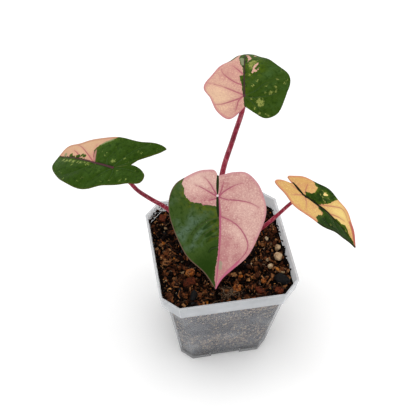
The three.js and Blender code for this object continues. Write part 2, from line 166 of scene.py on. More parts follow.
def new_group(name, colours, numbers, outputs):
    """A node group with named sockets: its inputs are colours and numbers."""
    tree = bpy.data.node_groups.new(name, "ShaderNodeTree")
    for label in (*colours, *numbers):
        kind = "NodeSocketColor" if label in colours else "NodeSocketFloat"
        tree.interface.new_socket(label, in_out="INPUT", socket_type=kind)
    for label in outputs:
        kind = "NodeSocketColor" if label == "Color" else "NodeSocketFloat"
        tree.interface.new_socket(label, in_out="OUTPUT", socket_type=kind)
    entry = tree.nodes.new("NodeGroupInput")
    leave = tree.nodes.new("NodeGroupOutput")
    return tree, entry.outputs, leave.inputs


def use_group(tree, group, **values):
    node = tree.nodes.new("ShaderNodeGroup")
    node.node_tree = group
    feed(tree, node.inputs, **values)
    return node.outputs


def new_material(name, specular):
    material = bpy.data.materials.new(name)
    material.use_nodes = True
    tree = material.node_tree
    shader = tree.nodes["Principled BSDF"]
    shader.inputs["Specular IOR Level"].default_value = specular
    return material, tree, shader


def bump(tree, shader, height, distance):
    """distance is how far, in metres, a height of 1 stands out."""
    node = add(tree, "Bump", Strength=1.0, Distance=distance, Height=height)
    feed(tree, shader.inputs, Normal=node.outputs["Normal"])


# Mesh helpers
def only(piece):
    """Makes this the one selected object."""
    bpy.ops.object.select_all(action="DESELECT")
    piece.select_set(True)
    bpy.context.view_layer.objects.active = piece


def edit(piece, *steps):
    """Runs edit-mode steps on the whole mesh; each is (operator, settings)."""
    only(piece)
    bpy.ops.object.mode_set(mode="EDIT")
    for operator, settings in steps:
        bpy.ops.mesh.select_all(action="SELECT")
        operator(**settings)
    bpy.ops.object.mode_set(mode="OBJECT")


def apply_modifiers(piece):
    only(piece)
    for modifier in list(piece.modifiers):
        bpy.ops.object.modifier_apply(modifier=modifier.name)


def smooth_shading(piece, degrees=None):
    only(piece)
    if degrees is None:
        bpy.ops.object.shade_smooth()
    else:
        bpy.ops.object.shade_smooth_by_angle(angle=math.radians(degrees))


def corners_of(mesh):
    values = np.zeros(len(mesh.vertices) * 3, np.float32)
    mesh.vertices.foreach_get("co", values)
    return values.reshape(-1, 3).astype(float)


def faces_of(mesh):
    return [tuple(face.vertices) for face in mesh.polygons]


def move_corners(mesh, places):
    mesh.vertices.foreach_set("co", np.asarray(places, np.float32).ravel())
    mesh.update()


def store(mesh, layer, values):
    """Keeps one number, or one vector, for each corner of a mesh."""
    values = np.asarray(values, np.float32)
    kind, field = ("FLOAT_VECTOR", "vector") if values.ndim == 2 else ("FLOAT", "value")
    kept = mesh.attributes.get(layer) or mesh.attributes.new(layer, kind, "POINT")
    kept.data.foreach_set(field, values.ravel())


def stored(mesh, layer):
    values = np.zeros(len(mesh.vertices), np.float32)
    mesh.attributes[layer].data.foreach_get("value", values)
    return values.astype(float)


def copy_of_node(name):
    """A copy of a CAD solid with its triangles joined, to dress in its place."""
    source = nodes[name]
    mesh = source.data.copy()
    mesh.materials.clear()
    piece = bpy.data.objects.new(name + "_dressed", mesh)
    mesh.name = piece.name
    bpy.context.scene.collection.objects.link(piece)
    edit(piece, (bpy.ops.mesh.remove_doubles, {"threshold": 1e-6}))
    return piece


def hand_over(piece, slot, *replaced):
    """Sets a finished piece on the part's one body, in place of the CAD nodes that it dresses."""
    if replaced:
        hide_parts(*replaced)
    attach(piece, "root")


# Node groups

# Heights in the pot at which its look changes, in metres
COLLAR_EDGE = 0.0743
# The foot's painted contact shadow fades out between these two heights
FOOT_SHADOW_FADE = (0.016, 0.002)
# The top of the mix turns to painted black shade between these two heights
MIX_GAP_SHADE = (0.0755, 0.0772)
MIX_BAND = 0.043


def make_grain_group():
    """Uneven tone and fine relief for stone, bark and roots."""
    tree, entry, leave = new_group(
        "grain", ("Tone", "Dark tone", "Light tone"), ("Patch size", "Grain size", "Contrast"),
        ("Color", "Roughness", "Height"))
    place = object_place(tree)
    patches = noise(tree, place, calc(tree, "DIVIDE", 1.0, entry["Patch size"]), 3.0, 0.6)
    grains = noise(tree, place, calc(tree, "DIVIDE", 1.0, entry["Grain size"]), 4.0, 0.65)
    colour = lay_over(
        tree, entry["Tone"],
        (ramp(tree, patches, 0.58, 0.36), entry["Contrast"], entry["Dark tone"]),
        (ramp(tree, grains, 0.54, 0.72), entry["Contrast"], entry["Light tone"]))
    height = calc(tree, "MULTIPLY_ADD", grains, 0.4, times(tree, patches, 0.6))
    feed(tree, leave, Color=colour, Roughness=ramp(tree, grains, 0.3, 0.7, 0.6, 0.95), Height=height)
    return tree


def make_pale_group():
    """Pale leaf tissue: a network of cream and pink cells, blushed clouds, flushed veins, painted shade.
    """
    tree, entry, leave = new_group(
        "pale_tissue", ("Pale", "Mottle", "Blush", "Pale vein", "Pale rim"), ("Mottling", "Blushing"),
        ("Color",))
    flat = flat_place(tree)
    cloud, vein, rib, rim = attributes(tree, "cloud", "vein", "rib", "rim")
    cells = noise(tree, flat, 1.0, 4.0, 0.75, 0.8)
    specks = noise(tree, flat, 2.4, 3.0, 0.7)
    patches = noise(tree, flat, 0.14, 3.0, 0.6)
    drift = calc(tree, "MULTIPLY_ADD", cloud, 0.10, cells)
    mottle = times(tree, ramp(tree, drift, 0.46, 0.66), entry["Mottling"])
    darker = times(tree, ramp(tree, specks, 0.50, 0.68), entry["Mottling"])
    blush_and_shade = calc(tree, "MULTIPLY_ADD", cloud, -0.9, ramp(tree, patches, 0.40, 0.68), clamp=True)
    # Painted shade: a darker blush beside the midrib, where the blade's crease falls into shade
    blush_and_shade = largest(tree, blush_and_shade, times(tree, ramp(tree, rib, 7.0, 1.0), 0.6))
    colour = lay_over(
        tree, entry["Pale"],
        (blush_and_shade, entry["Blushing"], entry["Blush"]),
        (calc(tree, "MULTIPLY", cloud, 0.6, clamp=True), 1.0, entry["Mottle"]),
        (darker, 0.7, entry["Blush"]),
        (mottle, 0.9, entry["Mottle"]),
        (ramp(tree, vein, 2.4, 0.3), 0.35, entry["Blush"]),
        (ramp(tree, vein, 0.62, 0.18), 0.85, entry["Pale vein"]),
        (ramp(tree, rim, 2.0, 0.2), 0.8, entry["Pale rim"]))
    feed(tree, leave, Color=colour)
    return tree


def make_green_group():
    """Green leaf tissue: painted grey sheen between veins, painted shade, olive beside pale areas,
    flecks.
    """
    tree, entry, leave = new_group(
        "green_tissue", ("Green", "Sheen", "Deep green", "Olive", "Fleck", "Green vein", "Green rim"),
        ("Olive reach", "Flecks"), ("Color",))
    flat = flat_place(tree)
    cloud, vein, rib, rim = attributes(tree, "cloud", "vein", "rib", "rim")
    light, shade_stripe, fleck = attributes(tree, "light", "deep_and_shade", "fleck")
    patches = noise(tree, flat, 0.16, 3.0, 0.55)
    mottle = noise(tree, flat, 0.45, 5.0, 0.68, 0.3)
    # Painted sheen: light off the tissue, laid in as a grey colour between the veins where clouds are
    # plus
    sheen = calc(tree, "MULTIPLY_ADD", cloud, 0.5, patches)
    sheen = times(tree, ramp(tree, sheen, 0.36, 0.95), ramp(tree, vein, 0.4, 4.0))
    drifting = calc(tree, "MULTIPLY_ADD", mottle, 1.4, calc(tree, "SUBTRACT", cloud, 0.7))
    # Painted shade by the midrib and in vein stripes; the drifting clouds and mottle are darker tissue
    deep_and_shade = largest(
        tree,
        ramp(tree, shade_stripe, -0.5, 0.3),
        ramp(tree, rib, 2.2, 0.7),
        ramp(tree, drifting, 0.0, -1.6),
        times(tree, ramp(tree, mottle, 0.51, 0.37), 0.7))
    near_pale = times(
        tree,
        ramp(tree, light, times(tree, entry["Olive reach"], -1.0), 0.0),
        ramp(tree, noise(tree, flat, 0.32, 5.0, 0.65), 0.40, 0.62),
        ramp(tree, cloud, -0.5, -0.1))
    splash = noise(tree, flat, 0.42, 5.0, 0.72, 0.5)
    stray = ramp(tree, calc(tree, "MULTIPLY_ADD", entry["Flecks"], 0.05, splash), 0.675, 0.70)
    stray = times(tree, stray, ramp(tree, entry["Flecks"], 0.0, 0.2))
    frayed = calc(tree, "SUBTRACT", noise(tree, flat, 0.75, 5.0, 0.75, 1.2), 0.5)
    marked = ramp(tree, calc(tree, "MULTIPLY_ADD", frayed, 7.5, fleck), 0.1, 0.6)
    broken = ramp(tree, noise(tree, flat, 1.0, 4.0, 0.75, 0.6), 0.36, 0.50)
    colour = lay_over(
        tree, entry["Green"],
        (sheen, 1.0, entry["Sheen"]),
        (deep_and_shade, 0.85, entry["Deep green"]),
        (near_pale, 0.9, entry["Olive"]),
        (largest(tree, stray, times(tree, marked, broken)), 0.85, entry["Fleck"]),
        (ramp(tree, vein, 0.55, 0.15), 0.5, entry["Green vein"]),
        (ramp(tree, rim, 0.7, 0.25), 1.0, entry["Green rim"]))
    feed(tree, leave, Color=colour)
    return tree


def make_skin_group():
    """Lays pale over green with a frayed border, then the seam, the grey-green areas and the midrib.
    The blade's attributes are in millimetres: light, sage, fleck, seam, flush and deep are how far
    inside such an area a point is, and vein, rib and rim how far it is from each. Only cloud is a
    strength."""
    tree, entry, leave = new_group(
        "leaf_skin", ("Pale tissue", "Green tissue", "Sage", "Seam", "Rib", "Flush", "Join"),
        ("Join size", "Ragged"), ("Color", "Roughness", "Height"))
    flat = flat_place(tree)
    vein, rib, light = attributes(tree, "vein", "rib", "light")
    sage, flush, seam = attributes(tree, "sage", "flush", "seam")
    frayed = calc(tree, "SUBTRACT", noise(tree, flat, 0.6, 5.0, 0.65), 0.5)
    border = calc(tree, "MULTIPLY_ADD", frayed, entry["Ragged"], light)
    sage_border = calc(tree, "MULTIPLY_ADD", frayed, 1.6, sage)
    centre = add(tree, "VectorMath", {"operation": "LENGTH"}, Vector=flat).outputs["Value"]
    outside_join = calc(tree, "SUBTRACT", centre, entry["Join size"])
    colour = lay_over(
        tree, entry["Green tissue"],
        (ramp(tree, border, -0.10, 0.14), 1.0, entry["Pale tissue"]),
        (ramp(tree, sage_border, -0.3, 0.5), 0.8, entry["Sage"]),
        (ramp(tree, flush, -0.5, 0.6), 0.75, entry["Flush"]),
        (ramp(tree, rib, 0.95, 0.45), 0.9, entry["Rib"]),
        (ramp(tree, seam, -0.12, 0.12), 1.0, entry["Seam"]),
        # On the front leaf the join is whitish: a painted highlight where the stalk meets the blade
        (ramp(tree, outside_join, 0.15, -0.15), 1.0, entry["Join"]))
    cells = noise(tree, flat, 1.1, 3.0, 0.65)
    height = calc(tree, "MULTIPLY_ADD", ramp(tree, vein, 0.55, 0.12), -0.12, times(tree, cells, 0.2))
    feed(tree, leave, Color=colour, Roughness=ramp(tree, cells, 0.3, 0.7, 0.42, 0.58), Height=height)
    return tree


def make_frost_group():
    """Frosted plastic: smudged, darker and denser at the foot for a painted shadow, denser in the collar.
    """
    tree, entry, leave = new_group(
        "frost", ("Tone", "Collar tone", "Foot tone", "Smudge"), ("Body alpha", "Collar alpha"),
        ("Color", "Alpha", "Height"))
    place = object_place(tree)
    height = add(tree, "SeparateXYZ", Vector=place).outputs["Z"]
    collar = ramp(tree, height, COLLAR_EDGE - 0.5 * MM, COLLAR_EDGE + 0.5 * MM)
    # Painted contact shadow: darker and denser towards the foot, where the pot stands on the floor
    foot = ramp(tree, height, *FOOT_SHADOW_FADE)
    clouds = noise(tree, place, 55.0, 4.0, 0.62)
    upright = noise(tree, object_place(tree, (1, 1, 0.10)), 380.0, 3.0, 0.6)
    level = noise(tree, object_place(tree, (0.12, 0.12, 1)), 300.0, 3.0, 0.6)
    streaks = blend(tree, collar, level, upright)
    strength = add(tree, "MapRange", Value=collar, To_Min=0.25, To_Max=0.45).outputs[0]
    smudges = times(tree, ramp(tree, streaks, 0.48, 0.70), strength)
    smudges = largest(tree, smudges, times(tree, ramp(tree, clouds, 0.52, 0.75), 0.4))
    fading = ramp(tree, foot, 0.0, 1.0, 1.0, 0.2)
    colour = lay_over(
        tree, entry["Tone"],
        (foot, 1.0, entry["Foot tone"]),
        (collar, 1.0, entry["Collar tone"]),
        (smudges, fading, entry["Smudge"]))
    alpha = add(tree, "MapRange", Value=collar, To_Min=entry["Body alpha"], To_Max=entry["Collar alpha"])
    uneven = calc(tree, "MULTIPLY_ADD", clouds, 0.35, -0.175)
    uneven = calc(tree, "MULTIPLY_ADD", foot, 0.28, uneven)
    alpha = calc(tree, "ADD", uneven, alpha.outputs[0], clamp=True)
    feed(tree, leave, Color=colour, Alpha=alpha, Height=clouds)
    return tree


GRAIN = make_grain_group()
PALE_TISSUE = make_pale_group()
GREEN_TISSUE = make_green_group()
LEAF_SKIN = make_skin_group()
FROST = make_frost_group()


def grain_material(name, relief, specular=0.1, **tones):
    material, tree, shader = new_material(name, specular)
    skin = use_group(tree, GRAIN, **tones)
    feed(tree, shader.inputs, Base_Color=skin["Color"], Roughness=skin["Roughness"])
    bump(tree, shader, skin["Height"], relief)
    return material


# Leaves

# Sizes are in millimetres and degrees. The blades stand and bend as in the part, and their outlines
# are nearly the part's. An area is an outline, or a spot as (along, across, radius). Clouds are
# (along, across, radius, strength): minus is blushed or deeper.
# On green tissue a plus cloud is painted sheen.
LEAVES = [
    {
        "name": "front", "join": (-4.6, -7.7, 146), "azimuth": -100.7, "pitch": 42, "roll": 0,
        "tip_radius": 180, "lobe_radius": 250, "fold": 5, "fold_radius": 165, "wave": 0.7, "sway": 2,
        "notch": (-12, 0), "tip": (58.5, 0),
        "left": [(-12.9, 3.8), (-14.4, 10.5), (-14.1, 17), (-8.2, 23.7), (-1, 27.5), (8, 29.5), (22, 26),
                 (37.5, 18), (50.5, 4.5)],
        "right": [(-15.2, -2), (-15.5, -6), (-14.3, -12.5), (-10.7, -19.7), (-7, -25), (-1, -28.3),
                  (8, -29.5), (19.5, -26.5), (35.5, -19), (48.5, -6.5)],
        "stalk": [(-1.5, -3, 100), (-3.8, -3.6, 130)], "stalk_radius": (2.3, 1.5), "foot": -90,
        "mostly": "pale",
        "green_areas": [
            [(-10.5, -20), (-7, -21.5), (-4, -20), (-1, -20), (1.5, -18.5), (4, -16), (4.5, -13.5),
             (4.5, -10), (6, -8.5), (5.5, -5.5), (6.5, -0.5), (7, 0.8), (12, 1.4), (20, 1.5), (30, 1.2),
             (37, 0.7), (41, 0.2), (45.5, -0.6), (50, -0.8), (58.5, 0), (70, -12), (40, -44), (-8, -44),
             (-22, -26)],
        ],
        "pale_areas": [],
        "sage_areas": [(41.8, 2.1, 1.9), (44.2, 2.4, 1.6)],
        "flecks": [(16.3, -6.5, 0.4)],
        "seams": [[(-12.5, 0), (-6, -0.1), (-1, 0)], [(0, 0), (6.4, 0.2), (13, 0.9)]], "seam_width": 0.85,
        "flushes": [[(40, 13.6), (46, 8.6), (52, 3.4), (57, 0.6)]], "flush_width": 1.2,
        # Stripes of painted shade beside the veins, where the quilted blade falls into shade
        "shade_stripes": [
            [(14.5, 0.4), (16, -2.6), (18, -5.4), (20.5, -8.5)], [(20, -0.2), (21.7, -2.6), (25, -6.6)],
            [(24.6, 0.4), (25.8, -3), (28, -6)], [(31.3, -0.2), (32.3, -2.9), (34.8, -5)],
        ],
        "clouds": [(-9, -12, 7, 0.9), (21, 13, 8, 0.6), (8, 19, 8, 0.4), (37, 8, 6, 0.4),
                   (14, 5, 6, -0.5), (2, -8, 5, -0.5), (24, -10, 10, 0.9), (9, -22, 8, -0.3),
                   (45, -6, 12, -1.6), (30, -2, 6, -0.8), (36, 11, 6, -0.6), (27, 7, 5, -0.6),
                   (16, 16, 4, -0.4), (-6, 8, 4, -0.3)],
        "veins": [
            [(1, 0.8), (2.3, 6), (2.5, 11), (3.2, 16.5), (4.5, 21), (6.8, 25.3)],
            [(12.6, 2.2), (14, 6), (16, 10), (19, 13.6), (22.7, 16.3), (26.7, 18.3), (29.5, 19),
             (33, 18.3), (36.7, 16), (41.5, 12), (46, 6.8), (52, 2.2)],
            [(0.2, 1.2), (-2.5, 3.8), (-5, 7.7), (-6.6, 11), (-8, 15)],
            [(-0.4, 1), (-3, 2.1), (-6, 3), (-8.5, 3.5)],
            [(0.6, -0.2), (-1.4, -3.6), (-3.3, -7), (-5, -10.3), (-6.2, -13.6)],
            [(-0.4, -0.5), (-3.4, -2.3), (-6.7, -4.3), (-9.3, -6.4), (-11.2, -8.7)],
            [(1.6, -0.2), (2.4, -3.5), (2.9, -6.8), (3.1, -9.8)],
            [(7.3, -2.1), (5.7, -7.4), (5.1, -14), (6.5, -18)],
            [(12.9, 1.1), (13.8, -2), (15.3, -6), (18, -10), (21.2, -13), (24.6, -15.4), (28.7, -16.7)],
            [(19, 0.9), (20, -1.8), (21.7, -5), (24.8, -8.4), (28.6, -11)],
            [(24.4, 0.8), (25.1, -1.7), (26.1, -4.4), (28.6, -7)],
            [(31.3, 0.5), (32.3, -2.9), (34.8, -4.9)],
        ],
    },
    {
        "name": "top", "join": (18.3, 33.6, 186), "azimuth": 88, "pitch": -48, "roll": -10,
        "tip_radius": 25, "lobe_radius": -85, "fold": -12, "fold_radius": 250, "wave": 0.5, "sway": 0,
        "notch": (-6.5, 0), "tip": (46, -3),
        "left": [(-10, 4.5), (-13, 11), (-8, 17.5), (1, 22), (8, 25), (15, 23), (24, 15.5), (33.5, 6)],
        "right": [(-11, -6), (-14, -12.5), (-12, -19.5), (-4.5, -24.5), (4, -28.5), (12, -29), (20, -26),
                  (27.3, -18.6), (35, -11.5)],
        "stalk": [(2.2, 12, 92), (4.9, 26, 125), (12.6, 31.8, 153), (17.7, 33.4, 174.5)],
        "stalk_radius": (2.5, 1.5), "foot": 90,
        "mostly": "pale",
        "green_areas": [
            [(50, 3), (38, 0), (29.5, 2), (20.5, 0.7), (18, -0.2), (13, 0), (12.7, 1.9), (9.5, 1.9),
             (7, 1.2), (3, 0.9), (-4, 0.7), (-7, 0.2), (-16, -1), (-26, -12), (-20, -40), (30, -44),
             (58, -14)],
            [(29.5, 9.5), (31.5, 5.8), (35.5, 2.4), (40, 1), (46, 4), (36, 12)],
        ],
        "pale_areas": [
            [(34, -2.6), (32, -5), (27, -6), (24.5, -4), (22.5, -3.2), (27.5, -4)],
            (33.5, -8.3, 0.9),
            [(17.5, -6), (21, -7.8), (24, -10.4), (20.5, -9.2), (18, -7.4), (17, -8.4), (19.4, -10.6),
             (16, -8.9), (14.3, -5.2), (16, -6.2)],
        ],
        "sage_areas": [[(29.5, 1.6), (28.7, -1.2), (20.5, -1), (20.5, 0.6)]],
        "flecks": [
            [(23, -4), (25, -6), (26, -9.5), (21.5, -8), (17.5, -5.8), (16.5, -4.5), (19, -3.5)],
            [(-1.5, -9), (-3.5, -12), (-6.5, -11.5), (-7.5, -9), (-4.5, -6.5), (-3.5, -7.5)],
            [(-10.8, -11.2), (-13.1, -15.6), (-13.8, -15.2), (-11.6, -11.4)],
            (13.2, -4.2, 0.8), (9, -8.4, 0.9), (6, -5.8, 0.8), (4.2, -19.5, 1.1), (1, -12.8, 0.8),
            (0.5, -16.4, 1.3), (1.2, -19.8, 0.9), (7, -25.6, 0.8), (9.5, -27, 0.8), (18.3, -24.3, 0.8),
            (10.4, -21.3, 0.9), (4.5, -13.7, 0.6), (-2.1, -4.5, 0.7), (-7.7, -5.8, 0.8), (-11, -8.4, 0.8),
        ],
        "seams": [[(-6.5, 0.1), (0, 0.1)]], "seam_width": 0.3,
        "flushes": [], "flush_width": 1,
        "shade_stripes": [],
        "clouds": [(2, 18, 8, 0.9), (-3, 12, 7, 0.4), (14, 5, 6, -0.3), (20, 8, 5, -0.3),
                   (-7, 7, 5, -0.3), (16, -16, 12, 0.3)],
        "veins": [
            [(0.5, 0.8), (3, 5.5), (6.5, 11.5), (9.5, 16.5), (12.5, 22)],
            [(6.5, 0.6), (9, 5), (14, 10), (19.5, 13), (23, 13)],
            [(-0.3, 0.9), (-1.5, 3.5), (-2.5, 7.5), (-3.5, 12), (-4, 16.5), (-3.5, 19.5)],
            [(-0.6, 1.2), (-3, 4), (-6, 5), (-9, 6.5)],
            [(14, 0.2), (18, 3), (23, 6.5)],
            [(0.2, -0.2), (2.5, -7), (6.5, -12), (9.5, -17.5), (14.5, -24.5)],
            [(8.7, -0.8), (12, -5.5), (15.5, -10), (19.5, -13.5)],
            [(-0.2, -1), (-1.5, -4), (-1.5, -9), (-1, -17), (0, -23)],
            [(-0.8, -0.8), (-4, -4.5), (-7.5, -8), (-11, -12.5)],
        ],
    },
    {
        "name": "left", "join": (-64.4, 17.3, 155), "azimuth": 142, "pitch": 11, "roll": -8,
        "tip_radius": 111, "lobe_radius": -125, "fold": 4, "fold_radius": 250, "wave": 0.6, "sway": 0.5,
        "notch": (-10, -4.5), "tip": (49, -4.5),
        "left": [(-16, -3.5), (-24, 1), (-25, 7.5), (-14, 10), (-2.5, 14), (7, 19.5), (17, 20),
                 (33.5, 15), (45, 7.5), (48.5, 1.5)],
        "right": [(-13.9, -9.4), (-20, -13.8), (-25.4, -17.8), (-28.1, -20.1), (-25, -21.7),
                  (-14.5, -22.8), (3, -22), (16, -21), (31, -15), (44.5, -12.5)],
        "stalk": [(-32.2, 14.6, 112.8), (-41.8, 16.2, 121.9), (-50.2, 16.4, 131.9), (-55, 16.4, 140.7)],
        "stalk_radius": (2.2, 1.2), "foot": 180,
        "mostly": "green",
        "green_areas": [(37, -4.1, 1.7), (33.2, -3.7, 0.8), (30.2, -3.9, 1.7), (27.3, -4.9, 1.2),
                        (25, -4.4, 1.3)],
        "pale_areas": [
            [(6.5, -30), (8.1, -21.5), (10.8, -20.1), (15.2, -17), (17.4, -14.6), (18.9, -12.6),
             (19.8, -10.4), (19.6, -8.7), (18.5, -6.7), (16.8, -3.9), (14.9, -1.3), (18, -1.4),
             (25, -2.5), (29, -3), (35, -3.6), (41, -4), (49, -4.5), (60, -8), (48, -30)],
        ],
        "sage_areas": [[(18.2, -14), (15.4, -17.8), (11, -20.8), (10, -19.4), (14.4, -16.4), (17, -13.6)],
                       (43, -5.2, 1.5)],
        "flecks": [
            (-4, -8.3, 0.8), (9.7, -6.5, 0.9), (13.2, -9.2, 0.4), (4.4, -20.7, 0.5), (-10.8, -14.5, 0.5),
            (-13, -14, 0.4), (-22.4, -18.2, 0.5), (-25.4, -19.6, 0.5), (2, -4, 1.3), (-4.5, 1.9, 0.4),
            (7, 5.8, 0.5), (1, 12.6, 0.6), (-3.5, 10, 0.6), (-10, 8.7, 0.7), (-14.5, 7.4, 0.7),
            (-16, -1.4, 0.5), (15.4, 12.4, 0.5), (41, -0.4, 1.2), (37.5, 0.3, 1.4), (34, 0.2, 1.2),
            (30.5, 0.8, 1.3), (27, 0.9, 1.1), (24, 1.4, 1.2), (21, 1, 0.9), (18.5, 1.4, 1.2),
        ],
        "seams": [[(-8.5, -3.8), (-4.5, -2), (-1, -0.6)]], "seam_width": 0.16,
        "flushes": [[(15, -1.6), (17, -5.5), (18.5, -10)]], "flush_width": 0.8,
        "shade_stripes": [],
        "clouds": [(30, -12, 12, 0.8), (20, -4, 4, -0.4), (4, 3, 8, 0.7), (6, -14, 9, 0.3),
                   (44, 1, 5, 0.6)],
        "veins": [
            [(16.1, -1.3), (22, -5.3), (33, -11.8), (37, -13)],
            [(15.4, -1.5), (19, -7), (20, -10.5), (20.5, -14)],
            [(0.2, -1), (-1, -4), (-4.5, -11.5), (-8, -16.5), (-14, -21.5)],
            [(4.7, -0.8), (7, -5), (6, -8), (5.5, -15)],
            [(-0.3, 0.5), (2.5, 3), (5.5, 8), (8.5, 13)],
            [(-1, 1), (-2, 4.5), (-2.5, 9.5)],
            [(14, -0.4), (18, 4.5), (27, 10), (31, 11)],
            [(-1.4, -0.2), (-11, -1), (-18.5, -0.5)],
            [(28, -3), (33, -6.6), (38, -9)],
            [(-2.4, -1.6), (-11, -8.4), (-19, -15)],
        ],
    },
    {
        "name": "right", "join": (51.8, -2.3, 130), "azimuth": -44, "pitch": 12, "roll": -18,
        "tip_radius": 71, "lobe_radius": 500, "fold": 8, "fold_radius": 250, "wave": 0.5, "sway": 0.3,
        "notch": (-10, 3.5), "tip": (47.5, 5.5),
        "left": [(-16, 7.5), (-11, 12.5), (-3, 16), (5, 18), (14, 18.5), (24, 17), (34.5, 14), (42, 9)],
        "right": [(-15.4, -0.6), (-19.4, -6.2), (-12.8, -10.2), (-3.5, -16), (4, -17.5), (12, -17.5),
                  (22, -13), (36, -2.5)],
        "stalk": [(27.6, 0, 100), (36.4, 0.2, 110), (45.2, 0.6, 120.5)],
        "stalk_radius": (1.9, 1.1), "foot": 0,
        "mostly": "pale",
        "green_areas": [
            [(-3, 20), (-3, 16), (-0.5, 16), (1.5, 13.5), (3.5, 13), (4, 7), (3, 5), (1, 4.5), (-1, 4),
             (1, 0.4), (3.5, 0.6), (5.5, 0.9), (10.5, 1.6), (13.5, 6), (15.5, 9.5), (16.5, 14.5),
             (17.5, 18), (17, 24)],
            [(11, 0.3), (12.5, -2.5), (16, -2), (16.5, -5.5), (14.5, -10), (14.5, -13.5), (17, -15),
             (18, -22), (52, -16), (54, 4), (45.5, 5.5), (43.5, 6), (38, 5.6), (34.5, 6.6), (32, 7),
             (29.5, 5.4), (25.5, 4.5), (21.5, 2.4), (17.5, 1.6), (13, 1.2)],
        ],
        "pale_areas": [[(8.6, 11), (10, 11.2), (11.6, 14), (10.6, 14.4), (9.8, 13.2), (9.4, 15),
                        (8.4, 13)]],
        "sage_areas": [],
        "flecks": [(2.4, 14, 0.7), (12, 7.5, 0.9), (7.4, 9.6, 0.7), (12.8, 12, 0.8), (9.6, 8.8, 0.7),
                   (6.8, 13, 0.6), (24, -6.5, 0.8), (34.8, 5, 0.8)],
        "seams": [[(-10.6, 4.2), (-6, 2.6), (0, 0)], [(-1, -0.2), (6, 0.6), (13, 1.4), (25.5, 3.2)],
                  [(1, -0.9), (7, -0.2), (14, 0.6), (24, 2)]],
        "seam_width": 0.85,
        "flushes": [[(33, 12.8), (39, 10.2), (43.5, 7.9), (47, 5.7)]], "flush_width": 1.8,
        "shade_stripes": [[(13, 1), (20, 2), (28, 3)], [(15, -6), (22, -8), (30, -5)]],
        "clouds": [(10, 12.5, 2.4, 2), (14, -8, 5, 0.2), (-3, -9, 7, 0.1), (25, 9, 8, 1.2),
                   (-8, -3, 5, -0.3), (-6, 10, 6, -0.4)],
        "veins": [
            [(1.4, -0.8), (4, -6), (6.5, -12), (7, -14)],
            [(-0.8, -0.4), (-3.5, -5), (-5.5, -8)],
            [(-0.5, 2.6), (-2, 7), (-3, 11.5)],
            [(10.2, 1.6), (14, 5), (18.5, 10), (23, 14), (27, 14), (32, 12)],
            [(-0.6, -0.4), (-3.5, 1), (-7.3, 1.4), (-10.3, 0.6)],
            [(20, 2.8), (25, 7), (30, 9.5)],
            [(12, 1), (17, -4), (23, -8.6)],
            [(22, 2.8), (28, -2), (34, -3.6)],
        ],
    },
]
BLADE_THICKNESS = 0.8
MIDRIB_RELIEF = 0.9
VEIN_RELIEF = 0.25
SWAY_SKEW = 0.7
# Shares of a margin: rows start on the seam behind the stalk, then at the stalk, then on the midrib
SEAM_END = 2 / 8
FAN_END = 4 / 8
# How far the rows bow, as a share of their length, and how many times that in the lobes
VEIN_BOW = 0.16
LOBE_BOW = -1.2
RIPPLES = 4.5
STRIPE_WIDTH = 1.1
MARGIN_STEPS = 150
MARGIN_SAMPLES = 2001
ROW_STEPS = 46
CURVE_STEPS = 24
FAR = 30.0


def blade_directions(leaf):
    """Towards the tip, to the left, and out of the upper face, where the stalk joins."""
    azimuth, pitch, roll = (math.radians(leaf[key]) for key in ("azimuth", "pitch", "roll"))
    ahead = Vector((
        math.cos(azimuth) * math.cos(pitch),
        math.sin(azimuth) * math.cos(pitch),
        -math.sin(pitch),
    ))
    left = Quaternion(ahead, roll) @ Vector((-math.sin(azimuth), math.cos(azimuth), 0))
    return np.array(ahead), np.array(left), np.array(ahead.cross(left))


def middle(leaf, along):
    """How far to the left the midrib lies, and the seam behind the stalk."""
    ahead = np.clip(along / leaf["tip"][0], 0, 1)
    forward = leaf["tip"][1] * ahead + leaf["sway"] * np.sin(np.pi * ahead**SWAY_SKEW)
    return np.where(along < 0, leaf["notch"][1] * along / leaf["notch"][0], forward)


def arch_over(leaf, along, across):
    """Where points of the flat blade lie once it is arched and folded, and the normals there."""
    ahead, left, out = blade_directions(leaf)
    radius = np.where(along > 0, leaf["tip_radius"], leaf["lobe_radius"])
    turn = along / radius
    fold = math.radians(leaf["fold"])
    crease = middle(leaf, along)
    slope = fold - np.abs(across - crease) / leaf["fold_radius"]
    side = np.where(np.abs(across - crease) < 1e-6, 0, np.sign(across - crease))
    reach = leaf["fold_radius"] * (math.sin(fold) - np.sin(slope))
    lift = leaf["fold_radius"] * (np.cos(slope) - math.cos(fold))
    forward = (radius + lift) * np.sin(turn)
    height = -radius * (1 - np.cos(turn)) + lift * np.cos(turn)
    points = np.array(leaf["join"]) + np.outer(forward, ahead)
    points += np.outer(crease + side * reach, left) + np.outer(height, out)
    normals = np.outer(np.cos(slope) * np.cos(turn), out) + np.outer(np.cos(slope) * np.sin(turn), ahead)
    normals -= np.outer(side * np.sin(slope), left)
    return points, normals


def smooth_curve(points, count):
    """Even samples of a centripetal Catmull-Rom curve through the points."""
    points = np.array(points, float)
    points = np.vstack([2 * points[0] - points[1], points, 2 * points[-1] - points[-2]])
    samples = []
    for a, b, c, d in zip(points, points[1:], points[2:], points[3:]):
        gaps = [max(np.linalg.norm(end - start), 1e-6) ** 0.5 for start, end in ((a, b), (b, c), (c, d))]
        leaving = ((b - a) / gaps[0] - (c - a) / (gaps[0] + gaps[1]) + (c - b) / gaps[1]) * gaps[1]
        arriving = ((c - b) / gaps[1] - (d - b) / (gaps[1] + gaps[2]) + (d - c) / gaps[2]) * gaps[1]
        t = np.linspace(0, 1, 60, endpoint=False)[:, None]
        bend = (3 * (c - b) - 2 * leaving - arriving) * t**2 + (2 * (b - c) + leaving + arriving) * t**3
        samples.append(b + leaving * t + bend)
    samples = np.vstack(samples + [points[-2:-1]])
    lengths = np.concatenate([[0], np.cumsum(np.linalg.norm(np.diff(samples, axis=0), axis=1))])
    even = np.linspace(0, lengths[-1], count)
    return np.stack([np.interp(even, lengths, column) for column in samples.T], 1)


